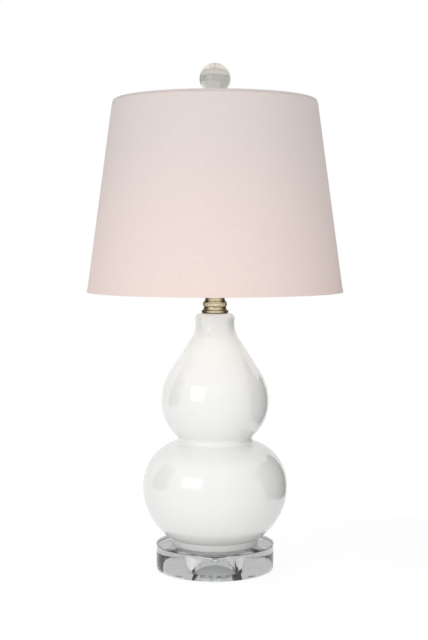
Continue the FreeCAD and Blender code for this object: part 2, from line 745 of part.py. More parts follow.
def make_socket_cap():
    """Spun brass cup on a boss that screws onto the rod, with a screw that locks it."""
    wall = "Sizes.socket_cap_wall"
    bend = "Sizes.socket_cap_bend"
    floor = derive("cap_floor", f"{saddle_nut_top} + {wall}")
    body = turned("socket_cap", [
        (thread_hole, saddle_nut_top),
        (f"Sizes.socket_cap_radius - {bend}", saddle_nut_top),
        ("Sizes.socket_cap_radius", f"{saddle_nut_top} + {bend}", bend, 1),
        ("Sizes.socket_cap_radius", cap_top),
        (cap_inner, cap_top),
        (cap_inner, f"{saddle_nut_top} + {bend}"),
        (f"Sizes.socket_cap_radius - {bend}", floor, f"{bend} - {wall}", -1),
        ("Sizes.socket_boss_radius", floor),
        ("Sizes.socket_boss_radius", rod_top),
        (thread_hole, rod_top),
    ])
    tap = new_sketch(body, "set_screw_circle", "YZ_Plane")
    circle(tap, "Sizes.set_screw_diameter / 2", "0", set_screw_z)
    pocket(body, tap, "set_screw_hole", "Sizes.socket_boss_radius + Sizes.cut_overrun")


def make_set_screw():
    """Locking screw through the boss, up against the rod."""
    side = "Sizes.set_screw_diameter / 2 - Sizes.thread_clearance"
    head = "Sizes.socket_boss_radius + Sizes.set_screw_stand"
    body = turned("socket_set_screw", [
        ("0", thread_hole),
        (side, thread_hole),
        (side, head),
        ("0", head),
    ])
    body.Placement.Rotation = FreeCAD.Rotation(V(0, 1, 0), 90)
    body.setExpression("Placement.Base.z", set_screw_z)


def make_tube_with_window(name, inner, outer, bottom, top):
    """A tube with a round window in front for the switch."""
    body = ring(name, inner, outer, bottom, top)
    window = new_sketch(body, name + "_window_circle", "XZ_Plane")
    circle(window, "Sizes.switch_hole_diameter / 2", "0", switch_z)
    pocket(body, window, name + "_window", f"{outer} + Sizes.cut_overrun")


def make_socket():
    """Brass shell, its card liner, the moulded switch body and the threaded contact shell."""
    make_tube_with_window("socket_shell", socket_inner, socket_outer, shell_bottom, shell_top)
    make_tube_with_window("socket_liner", liner_inner, liner_outer, shell_bottom,
                          f"{shell_top} - Sizes.nesting_clearance")
    body = turned("socket_body", [
        ("0", body_bottom),
        (body_radius, body_bottom),
        (body_radius, screw_bottom),
        ("0", screw_bottom),
    ])
    bore = new_sketch(body, "switch_bore_circle", "XZ_Plane")
    circle(bore, "Sizes.switch_shaft_diameter / 2 + Sizes.running_clearance", "0", switch_z)
    pocket(body, bore, "switch_bore", f"{body_radius} + Sizes.cut_overrun")
    floor_hole = "Sizes.contact_diameter / 2 + Sizes.contact_gap"
    turned("screw_shell", [
        (floor_hole, screw_bottom),
        (f"{screw_bore} + Sizes.screw_shell_wall", screw_bottom),
        (f"{screw_bore} + Sizes.screw_shell_wall", f"{screw_bottom} + Sizes.screw_shell_height"),
        (screw_bore, f"{screw_bottom} + Sizes.screw_shell_height"),
        (screw_bore, f"{screw_bottom} + Sizes.screw_shell_wall"),
        (floor_hole, f"{screw_bottom} + Sizes.screw_shell_wall"),
    ])
    turned("centre_contact", [
        ("0", screw_bottom),
        ("Sizes.contact_diameter / 2", screw_bottom),
        ("Sizes.contact_diameter / 2", f"{screw_bottom} + Sizes.contact_height"),
        ("0", f"{screw_bottom} + Sizes.contact_height"),
    ])


def make_switch():
    """Turn switch: a shaft in the moulded body and a fluted knob outside the shell."""
    knob_start = derive("knob_start", f"{socket_outer} + Sizes.switch_knob_gap")
    knob_end = derive("knob_end", f"{knob_start} + Sizes.switch_knob_length")
    shaft = "Sizes.switch_shaft_diameter / 2"
    knob = "Sizes.switch_knob_diameter / 2"
    socket = f"{knob_start} + Sizes.switch_knob_length / 2"
    shaft_start = f"{body_radius} - Sizes.switch_shaft_depth"
    shaft_body = turned("switch_shaft", [
        ("0", shaft_start),
        (shaft, shaft_start),
        (shaft, socket),
        ("0", socket),
    ])
    knob_body = turned("switch_knob", [
        ("0", socket),
        (shaft, socket),
        (shaft, knob_start),
        (knob, knob_start),
        (knob, f"{knob_end} - {knob} / 2"),
        (f"{knob} / 2", knob_end, f"{knob} / 2", 1),
        ("0", knob_end),
    ])
    flute = new_sketch(knob_body, "flute_circle", "XY_Plane", knob_start)
    circle(flute, "Sizes.flute_diameter / 2", knob)
    cut = pocket(knob_body, flute, "flute", "Sizes.switch_knob_length")
    around(knob_body, cut, "flute_ring", "Sizes.flute_count")
    for body in (shaft_body, knob_body):
        body.Placement.Rotation = FreeCAD.Rotation(V(1, 0, 0), 90)
        body.setExpression("Placement.Base.z", switch_z)


# ---------------------------------------------------------------- bulb

tip_bottom = derive("tip_bottom", f"{screw_bottom} + Sizes.contact_height + Sizes.seat_gap")
tip_top = derive("tip_top", f"{tip_bottom} + Sizes.bulb_tip_height")
bulb_cap_bottom = derive("bulb_cap_bottom", f"{tip_top} + Sizes.insulator_height")
bulb_cap_top = derive("bulb_cap_top", f"{bulb_cap_bottom} + Sizes.bulb_cap_length")
globe_neck = derive("globe_neck", "Sizes.bulb_cap_radius - Sizes.bulb_cap_wall - Sizes.nesting_clearance")
globe_z = derive("globe_z", f"{bulb_cap_top} + Sizes.globe_neck_height")
stem_bottom = derive("stem_bottom", f"{bulb_cap_top} - Sizes.globe_insert")
globe_arc = derive("globe_arc", tangent_sum(
    "Sizes.globe_radius", globe_z, globe_neck, bulb_cap_top) + " - Sizes.globe_radius")


def globe_skin(inset):
    """The globe's side from its cut edge in the cap up to its crown."""
    ball = f"(Sizes.globe_radius - {inset})"
    hollow = f"({globe_arc} + {inset})"
    join = meeting(("0", globe_z), ball, (f"{globe_neck} + {globe_arc}", bulb_cap_top), hollow)
    return [
        (f"{globe_neck} - {inset}", stem_bottom),
        (f"{globe_neck} - {inset}", bulb_cap_top),
        join + (hollow, -1),
        (ball, globe_z, ball, 1),
        ("0", f"{globe_z} + {ball}", ball, 1),
    ]


def make_bulb():
    """Lamp bulb: glass globe, screw cap, insulator, tip contact, stem and filament sticks."""
    turned("bulb_globe", globe_skin("0") + backwards(globe_skin("Sizes.globe_wall")))
    ring("bulb_cap", "Sizes.bulb_cap_radius - Sizes.bulb_cap_wall", "Sizes.bulb_cap_radius",
         bulb_cap_bottom, bulb_cap_top)
    turned("bulb_insulator", [
        ("0", tip_top),
        ("Sizes.insulator_tip_radius", tip_top),
        ("Sizes.bulb_cap_radius", bulb_cap_bottom),
        ("0", bulb_cap_bottom),
    ])
    turned("bulb_contact", [
        ("0", tip_bottom),
        ("Sizes.bulb_tip_radius", tip_bottom),
        ("Sizes.bulb_tip_radius", tip_top),
        ("0", tip_top),
    ])
    stem_foot = f"{globe_neck} - Sizes.globe_wall - Sizes.nesting_clearance"
    foot_top = f"{stem_bottom} + Sizes.stem_foot_height"
    low_plate = derive("low_plate", f"{globe_z} - Sizes.filament_length / 2")
    high_plate = derive("high_plate", f"{low_plate} + Sizes.filament_length")
    plate = "Sizes.filament_circle / 2 + Sizes.filament_diameter / 2"
    thick = "Sizes.filament_plate_thickness"
    turned("bulb_stem", [
        ("0", stem_bottom),
        (stem_foot, stem_bottom),
        (stem_foot, foot_top),
        ("Sizes.stem_radius", f"{foot_top} + Sizes.stem_taper_height"),
        ("Sizes.stem_radius", f"{low_plate} - {thick}"),
        (plate, f"{low_plate} - {thick}"),
        (plate, low_plate),
        ("Sizes.stem_radius", low_plate),
        ("Sizes.stem_radius", high_plate),
        (plate, high_plate),
        (plate, f"{high_plate} + {thick}"),
        ("0", f"{high_plate} + {thick}"),
    ])
    sticks = new_body("bulb_filaments")
    spot = new_sketch(sticks, "filament_circle", "XY_Plane", low_plate)
    circle(spot, "Sizes.filament_diameter / 2", "Sizes.filament_circle / 2")
    stick = pad(sticks, spot, "filament", "Sizes.filament_length")
    around(sticks, stick, "filament_ring", "Sizes.filament_count")


# ---------------------------------------------------------------- swivel stud

shoulder_bottom = derive("shoulder_bottom", f"{harp_top} + Sizes.running_clearance")
shoulder_top = derive("shoulder_top", f"{shoulder_bottom} + Sizes.stud_shoulder_height")
hub_bottom = derive("hub_bottom", f"{shoulder_top} + Sizes.running_clearance")
hub_top = derive("hub_top", f"{hub_bottom} + Sizes.hub_thickness")


def make_stud():
    """Threaded stud, riveted through the harp's plate so that it turns."""
    head = "Sizes.stud_shoulder_diameter / 2"
    shank = "Sizes.stud_shank_diameter / 2"
    thread = "Sizes.stud_diameter / 2"
    head_top = f"{plate_bottom} - Sizes.running_clearance"
    turned("harp_stud", [
        ("0", f"{head_top} - Sizes.stud_head_height"),
        (head, f"{head_top} - Sizes.stud_head_height"),
        (head, head_top),
        (shank, head_top),
        (shank, shoulder_bottom),
        (head, shoulder_bottom),
        (head, shoulder_top),
        (thread, shoulder_top),
        (thread, f"{shoulder_top} + Sizes.stud_length"),
        ("0", f"{shoulder_top} + Sizes.stud_length"),
    ])


# ---------------------------------------------------------------- shade

shade_top = derive("shade_top", f"{hub_bottom} + Sizes.spider_drop")
shade_bottom = derive("shade_bottom", f"{shade_top} - Sizes.shade_height")
shade_slope = derive("shade_slope",
                     "(Sizes.shade_bottom_diameter - Sizes.shade_top_diameter) / 2 / Sizes.shade_height")
trim_in = "Sizes.trim_thickness"
fabric_in = derive("fabric_in", "Sizes.trim_thickness + Sizes.fabric_thickness")
liner_in = derive("liner_in", f"{fabric_in} + Sizes.shade_liner_thickness")
lean_cosine = derive("lean_cosine", f"1 / sqrt(1 + {shade_slope} * {shade_slope})")
lean_sine = derive("lean_sine", f"{shade_slope} * {lean_cosine}")
bottom_ring_z = derive("bottom_ring_z", f"{shade_bottom} + Sizes.ring_wire / 2 + {trim_in}")


def shade_radius(height, inset="0"):
    """The shade's outer radius at a height, less an inset measured level."""
    return f"(Sizes.shade_bottom_diameter / 2 - ({height} - {shade_bottom}) * {shade_slope} - {inset})"


bend_z = derive("bend_z", f"{shade_top} - Sizes.shade_shoulder")
bend_radius = derive("bend_radius", f"{shade_radius(bend_z)} - Sizes.shade_shoulder / {lean_cosine}")


def shoulder_bend(inset):
    """The radius of the rounded shoulder, less an inset measured level."""
    return f"(Sizes.shade_shoulder - {inset} * {lean_cosine})"


hoop_half = "(Sizes.ring_wire / 2 + Sizes.nesting_clearance)"
top_ring_z = derive("top_ring_z", f"{bend_z} + {shoulder_bend(liner_in)} - {hoop_half}")
top_ring_radius = derive("top_ring_radius", bend_radius)
top_fold = derive("top_fold", f"{top_ring_radius} - {hoop_half}")
bottom_ring_radius = derive("bottom_ring_radius", shade_radius(bottom_ring_z, f"({liner_in} + {hoop_half})"))


def make_wall_layer(name, outer, inner):
    """One layer of the shade's wall, from its bottom edge up and round the shoulder to the hoop."""
    bottom = f"{shade_bottom} + {trim_in}"
    outer_bend, inner_bend = shoulder_bend(outer), shoulder_bend(inner)
    turned(name, [
        (shade_radius(bottom, inner), bottom),
        (shade_radius(bottom, outer), bottom),
        (f"{bend_radius} + {outer_bend} * {lean_cosine}", f"{bend_z} + {outer_bend} * {lean_sine}"),
        (bend_radius, f"{bend_z} + {outer_bend}", outer_bend, 1),
        (top_fold, f"{bend_z} + {outer_bend}"),
        (top_fold, f"{bend_z} + {inner_bend}"),
        (bend_radius, f"{bend_z} + {inner_bend}"),
        (f"{bend_radius} + {inner_bend} * {lean_cosine}", f"{bend_z} + {inner_bend} * {lean_sine}",
         inner_bend, -1),
    ])


def make_top_trim():
    """Hem over the shoulder's upper part, folded down round the inside of the top hoop."""
    hem_z = f"({shade_top} - Sizes.top_trim_width)"
    outer_bend, inner_bend = shoulder_bend("0"), shoulder_bend(trim_in)
    fold_z = f"{bend_z} + {inner_bend}"
    tail_z = f"{top_ring_z} + Sizes.nesting_clearance"
    tail_inner = f"{top_fold} - {trim_in}"
    hem = [f"{bend_radius} + sqrt({bend} * {bend} - ({hem_z} - {bend_z}) * ({hem_z} - {bend_z}))"
           for bend in (outer_bend, inner_bend)]
    turned("shade_top_trim", [
        (hem[0], hem_z),
        (bend_radius, shade_top, outer_bend, 1),
        (tail_inner, shade_top),
        (tail_inner, tail_z),
        (top_fold, tail_z),
        (top_fold, fold_z),
        (bend_radius, fold_z),
        (hem[1], hem_z, inner_bend, -1),
    ])


def make_bottom_trim():
    """Hem along the outside of the bottom edge, folded up round the inside of the bottom hoop."""
    hem_z = f"{shade_bottom} + Sizes.bottom_trim_width"
    fold_z = f"{shade_bottom} + {trim_in}"
    tail_z = f"{bottom_ring_z} - Sizes.nesting_clearance"
    tail_outer = f"({liner_in} + 2 * {hoop_half})"
    tail_inner = f"({tail_outer} + {trim_in})"
    turned("shade_bottom_trim", [
        (shade_radius(hem_z), hem_z),
        (shade_radius(shade_bottom), shade_bottom),
        (shade_radius(shade_bottom, tail_inner), shade_bottom),
        (shade_radius(tail_z, tail_inner), tail_z),
        (shade_radius(tail_z, tail_outer), tail_z),
        (shade_radius(fold_z, tail_outer), fold_z),
        (shade_radius(fold_z, trim_in), fold_z),
        (shade_radius(hem_z, trim_in), hem_z),
    ])


def make_ring(name, radius, height):
    """Wire hoop."""
    hoop = doc.addObject("Part::Torus", name)
    hoop.Label = name
    hoop.setExpression("Radius1", radius)
    hoop.setExpression("Radius2", "Sizes.ring_wire / 2")
    hoop.setExpression("Placement.Base.z", height)


def make_shade():
    """Fabric bonded to a stiff liner, hemmed over a wire hoop at each end."""
    make_wall_layer("shade_fabric", trim_in, fabric_in)
    make_wall_layer("shade_liner", fabric_in, liner_in)
    make_ring("shade_top_ring", top_ring_radius, top_ring_z)
    make_ring("shade_bottom_ring", bottom_ring_radius, bottom_ring_z)
    make_top_trim()
    make_bottom_trim()


def make_spider():
    """Hub over the stud and three wires that rise from it to the top hoop."""
    hub_hole = "Sizes.stud_diameter / 2 + Sizes.hub_hole_clearance"
    ring("spider_hub", hub_hole, "Sizes.hub_diameter / 2", hub_bottom, hub_top)
    level = derive("spider_level", f"{hub_bottom} + Sizes.spider_wire / 2")
    bend = "Sizes.spider_rise_bend"
    end_x = derive("spider_end", f"{top_ring_radius} - Sizes.ring_wire / 2 - Sizes.spider_wire / 2")
    body = new_body("spider_arms")
    route = new_sketch(body, "spider_route", "XZ_Plane")
    draw(route, [
        ("Sizes.hub_diameter / 2", level),
        (f"{end_x} - {bend}", level),
        (end_x, f"{level} + {bend}", bend, 1),
        (end_x, top_ring_z),
    ], closed=False)
    section = new_sketch(body, "spider_wire_circle", "YZ_Plane", "Sizes.hub_diameter / 2")
    circle(section, "Sizes.spider_wire / 2", "0", level)
    arm = body.newObject("PartDesign::AdditivePipe", "spider_arm")
    arm.Profile = section
    arm.Spine = (route, [])
    body.Tip = arm
    around(body, arm, "spider_ring", "Sizes.spider_count")
    body.Placement.Rotation = FreeCAD.Rotation(V(0, 0, 1), 90)


# ---------------------------------------------------------------- finial

finial_bottom = derive("finial_bottom", f"{hub_top} + Sizes.running_clearance")
ball_z = derive("ball_z", f"{finial_bottom} + Sizes.finial_height + Sizes.ball_diameter / 2")


def make_finial():
    """Turned brass cup that screws onto the stud, and the crystal ball set in it."""
    ball = doc.addObject("Part::Sphere", "finial_ball")
    ball.Label = "finial_ball"
    ball.setExpression("Radius", "Sizes.ball_diameter / 2")
    ball.setExpression("Placement.Base.z", ball_z)
    seat = derive("finial_seat", "Sizes.ball_diameter / 2 + Sizes.glue_line")
    cup = "Sizes.finial_cup_radius"
    rim = derive("finial_rim", f"{ball_z} - sqrt({seat} * {seat} - {cup} * {cup})")
    neck_top = f"{finial_bottom} + Sizes.finial_height - Sizes.finial_cup_depth"
    hole = "Sizes.stud_diameter / 2 + Sizes.thread_clearance"
    hole_top = f"{shoulder_top} + Sizes.stud_length + Sizes.seat_gap"
    foot_top = f"{finial_bottom} + Sizes.finial_foot_height"
    turned("finial_cup", [
        (hole, finial_bottom),
        ("Sizes.finial_foot_radius", finial_bottom),
        ("Sizes.finial_foot_radius", foot_top),
        ("Sizes.finial_waist_radius", f"{foot_top} + Sizes.finial_foot_height"),
        ("Sizes.finial_waist_radius", f"{neck_top} - Sizes.finial_foot_height"),
        (cup, neck_top),
        (cup, rim),
        ("0", f"{ball_z} - {seat}", seat, -1),
        ("0", hole_top),
        (hole, hole_top),
    ])


make_base()
make_bumpers()
make_rod_and_base_nut()
make_gourd()
make_grommet()
make_vase_cap()
make_collar()
make_cone()
make_saddle()
make_harp()
make_sleeve("harp_sleeve_left", -1)
make_sleeve("harp_sleeve_right", 1)
make_saddle_nut()
make_socket_cap()
make_set_screw()
make_socket()
make_switch()
make_bulb()
make_stud()
make_shade()
make_spider()
make_finial()
doc.recompute()

# ---------------------------------------------------------------- checks and export

failed = [item.Name for item in doc.Objects if {"Invalid", "Error"} & set(item.State)]
used = {base.Name for cut in doc.Objects if cut.isDerivedFrom("Part::Cut") for base in (cut.Base, cut.Tool)}
kinds = ("PartDesign::Body", "Part::Cut", "Part::Torus", "Part::Sphere")
pieces = [item for item in doc.Objects if item.TypeId in kinds and item.Name not in used]
failed += [item.Label for item in pieces if item.Shape.isNull() or not item.Shape.isValid()]
if failed:
    raise SystemExit("failed: " + ", ".join(failed))
os.makedirs("parts", exist_ok=True)
for item in pieces:
    item.Shape.exportStep(f"parts/{item.Label}.step")
    print(item.Label, len(item.Shape.Solids), round(item.Shape.Volume, 1))
print(len(pieces), "pieces")
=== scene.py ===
import bpy
import bmesh
import math
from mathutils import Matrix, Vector


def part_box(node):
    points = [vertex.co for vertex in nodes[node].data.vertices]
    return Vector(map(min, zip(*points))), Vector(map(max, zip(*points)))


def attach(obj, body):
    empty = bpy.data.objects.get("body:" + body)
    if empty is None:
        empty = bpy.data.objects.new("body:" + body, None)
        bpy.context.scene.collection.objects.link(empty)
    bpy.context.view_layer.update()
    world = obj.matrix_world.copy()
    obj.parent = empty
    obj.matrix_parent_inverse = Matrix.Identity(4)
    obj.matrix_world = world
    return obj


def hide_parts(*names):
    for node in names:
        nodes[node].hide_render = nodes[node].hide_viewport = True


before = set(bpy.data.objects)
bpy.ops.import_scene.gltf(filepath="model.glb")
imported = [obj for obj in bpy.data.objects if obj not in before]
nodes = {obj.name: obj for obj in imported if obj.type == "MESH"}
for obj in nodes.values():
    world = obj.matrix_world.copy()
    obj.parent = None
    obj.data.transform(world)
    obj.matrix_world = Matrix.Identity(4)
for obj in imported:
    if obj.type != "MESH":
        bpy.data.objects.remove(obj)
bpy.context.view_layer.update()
MM = 0.001

# ---------------------------------------------------------------- camera
# The lamp is seen from in front, the eye level with the lower part of the shade and tipped a
# little down. The lens and the drop of the frame are in pixels of a 428 x 640 picture.
photo_width, photo_height = 428, 640
focal_pixels = 1288
axis_column = 215
eye_distance, eye_height = 1.664, 0.4329
eye_tip = math.radians(2.3)
frame_drop_pixels = 33
camera_data = bpy.data.cameras.new("camera")
camera_data.sensor_width = 36
camera_data.lens = focal_pixels / photo_height * camera_data.sensor_width
camera_data.shift_y = -frame_drop_pixels / photo_height
camera = bpy.data.objects.new("camera", camera_data)
bpy.context.scene.collection.objects.link(camera)
camera.location = ((photo_width / 2 - axis_column) * eye_distance / focal_pixels, -eye_distance, eye_height)
camera.rotation_euler = (math.radians(90) - eye_tip, 0, 0)
bpy.context.scene.camera = camera
bpy.context.scene.view_settings.view_transform = "Standard"


# ---------------------------------------------------------------- backdrop, floor and light
# White all round. The floor is mostly its own white with a little lit paint in it, which keeps a
# soft shadow. Dark panels at the sides show in gloss and glass, and a low one shades the gourd.
def add_node(tree, kind, settings=(), **inputs):
    """A node with its settings and the plain values of its inputs."""
    node = tree.nodes.new(kind)
    for name, value in dict(settings).items():
        setattr(node, name, value)
    for name, value in inputs.items():
        node.inputs[name.replace("_", " ")].default_value = value
    return node


def backdrop_rays(tree, plain, through_glass):
    """1 for a ray from the camera or by gloss, and a value each for soft light and for glass."""
    rays = add_node(tree, "ShaderNodeLightPath")
    either = add_node(tree, "ShaderNodeMath", {"operation": "MAXIMUM"})
    seen = add_node(tree, "ShaderNodeMapRange", To_Min=plain, To_Max=1.0)
    kept = add_node(tree, "ShaderNodeMix", {"data_type": "FLOAT"}, B=through_glass)
    tree.links.new(rays.outputs["Is Camera Ray"], either.inputs[0])
    tree.links.new(rays.outputs["Is Glossy Ray"], either.inputs[1])
    tree.links.new(either.outputs[0], seen.inputs["Value"])
    tree.links.new(rays.outputs["Is Transmission Ray"], kept.inputs["Factor"])
    tree.links.new(seen.outputs["Result"], kept.inputs["A"])
    return kept.outputs["Result"]


ambient_strength = 0.63
glass_strength = 0.50
world = bpy.data.worlds.new("white_room")
bpy.context.scene.world = world
world.use_nodes = True
world_tree = world.node_tree
background = world_tree.nodes["Background"]
background.inputs["Color"].default_value = (1, 1, 1, 1)
world_light = backdrop_rays(world_tree, ambient_strength, glass_strength)
world_tree.links.new(world_light, background.inputs["Strength"])

floor_radius = 6.0
floor_own_white, floor_glow = 0.86, 1.06
floor_through_glass = 0.15
shadow_reach, all_white_reach = 0.25, 0.8
floor_mesh = bpy.data.meshes.new("floor")
shape = bmesh.new()
bmesh.ops.create_circle(shape, cap_ends=True, segments=96, radius=floor_radius)
shape.to_mesh(floor_mesh)
shape.free()
floor = bpy.data.objects.new("floor", floor_mesh)
bpy.context.scene.collection.objects.link(floor)
floor_paint = bpy.data.materials.new("floor_paint")
floor_paint.use_nodes = True
tree = floor_paint.node_tree
tree.nodes.clear()
paint = add_node(tree, "ShaderNodeBsdfDiffuse", Color=(0.92, 0.92, 0.92, 1))
glow = add_node(tree, "ShaderNodeEmission", Color=(1, 1, 1, 1), Strength=floor_glow)
place = add_node(tree, "ShaderNodeTexCoord")
away = add_node(tree, "ShaderNodeVectorMath", {"operation": "LENGTH"})
own_white = add_node(tree, "ShaderNodeMapRange", {"interpolation_type": "SMOOTHSTEP"}, From_Min=shadow_reach,
                     From_Max=all_white_reach, To_Min=floor_own_white, To_Max=1.0)
share = add_node(tree, "ShaderNodeMath", {"operation": "MULTIPLY"})
mix = add_node(tree, "ShaderNodeMixShader")
output = add_node(tree, "ShaderNodeOutputMaterial")
tree.links.new(place.outputs["Object"], away.inputs[0])
tree.links.new(away.outputs["Value"], own_white.inputs["Value"])
tree.links.new(backdrop_rays(tree, 0.0, floor_through_glass), share.inputs[0])
tree.links.new(own_white.outputs["Result"], share.inputs[1])
tree.links.new(share.outputs[0], mix.inputs["Fac"])
tree.links.new(paint.outputs[0], mix.inputs[1])
tree.links.new(glow.outputs[0], mix.inputs[2])
tree.links.new(mix.outputs[0], output.inputs["Surface"])
floor_mesh.materials.append(floor_paint)

flag_black = bpy.data.materials.new("flag_black")
flag_black.use_nodes = True
flag_black.node_tree.nodes["Principled BSDF"].inputs["Base Color"].default_value = (0.01, 0.01, 0.01, 1)
flag_black.node_tree.nodes["Principled BSDF"].inputs["Roughness"].default_value = 1.0


def stand_flag(name, bearing, distance, width, height):
    """An upright dark panel at a bearing from straight behind, seen in gloss and glass alone."""
    mesh = bpy.data.meshes.new(name)
    half = width / 2
    across = Vector((math.cos(bearing), -math.sin(bearing), 0)) * half
    centre = Vector((math.sin(bearing), math.cos(bearing), 0)) * distance
    top = Vector((0, 0, height))
    mesh.from_pydata([centre - across, centre + across, centre + across + top, centre - across + top], [],
                     [(0, 1, 2, 3)])
    mesh.materials.append(flag_black)
    flag = bpy.data.objects.new(name, mesh)
    bpy.context.scene.collection.objects.link(flag)
    flag.visible_camera = False
    flag.visible_diffuse = False
    flag.visible_shadow = False
    return flag


stand_flag("flag_left", math.radians(-84), 1.5, 0.9, 1.3)
stand_flag("flag_right", math.radians(80), 1.5, 1.2, 1.3)
low_flag = stand_flag("flag_right_low", math.radians(72), 0.36, 0.42, 0.34)
low_flag.visible_diffuse = True
low_flag.visible_shadow = True


def hang_light(name, place, aim, width, height, power, colour=(1, 1, 1), in_gloss=True):
    """A soft rectangular light that the camera doesn't see."""
    data = bpy.data.lights.new(name, "AREA")
    data.shape = "RECTANGLE"
    data.size = width
    data.size_y = height
    data.energy = power
    data.color = colour
    light = bpy.data.objects.new(name, data)
    bpy.context.scene.collection.objects.link(light)
    light.location = place
    light.rotation_euler = (Vector(aim) - Vector(place)).to_track_quat("-Z", "Y").to_euler()
    light.visible_camera = False
    light.visible_glossy = in_gloss


hang_light("key_light", (-1.0, -1.27, 0.78), (0, 0, 0.30), 1.0, 0.8, 4.2, (0.97, 0.98, 1))
hang_light("front_light", (0.3, -2.4, 1.0), (0, 0, 0.45), 1.6, 1.0, 12.5, in_gloss=False)
hang_light("inner_light", (0, 0, 0.585), (0, 0, 0.30), 0.09, 0.09, 0.30, (1, 0.95, 0.88), in_gloss=False)


# ---------------------------------------------------------------- ceramic double gourd
# Slip-cast stoneware shell under a thick white gloss glaze: two bellies with a tight waist, a
# rounded lip, and a stepped foot ring. It is drilled low in the back for the cord.
def arc(centre, radius, first, last, steps):
    """Points on an arc, its angles in radians from outwards towards up."""
    turn = (last - first) / steps
    angles = [first + turn * step for step in range(steps + 1)]
    return [Vector((centre[0] + radius * math.cos(a), centre[1] + radius * math.sin(a))) for a in angles]


def rounded(corners, closed=True, steps=4):
    """An outline from corners (radius, height), each rounded where it has a third number."""
    outline = []
    for index, (across, up, *soft) in enumerate(corners):
        here = Vector((across, up))
        at_end = index in (0, len(corners) - 1)
        if not soft or (at_end and not closed):
            outline.append(here)
            continue
        before = (Vector(corners[index - 1][:2]) - here).normalized()
        after = (Vector(corners[(index + 1) % len(corners)][:2]) - here).normalized()
        half = before.angle(after) / 2
        centre = here + (before + after).normalized() * soft[0] / math.sin(half)
        reach = soft[0] / math.tan(half)
        first = here + before * reach - centre
        last = here + after * reach - centre
        turned = [first.normalized().slerp(last.normalized(), step / steps) for step in range(steps + 1)]
        outline += [centre + direction * soft[0] for direction in turned]
    return outline + outline[:1] if closed else outline


weld_distance = 0.001 * MM


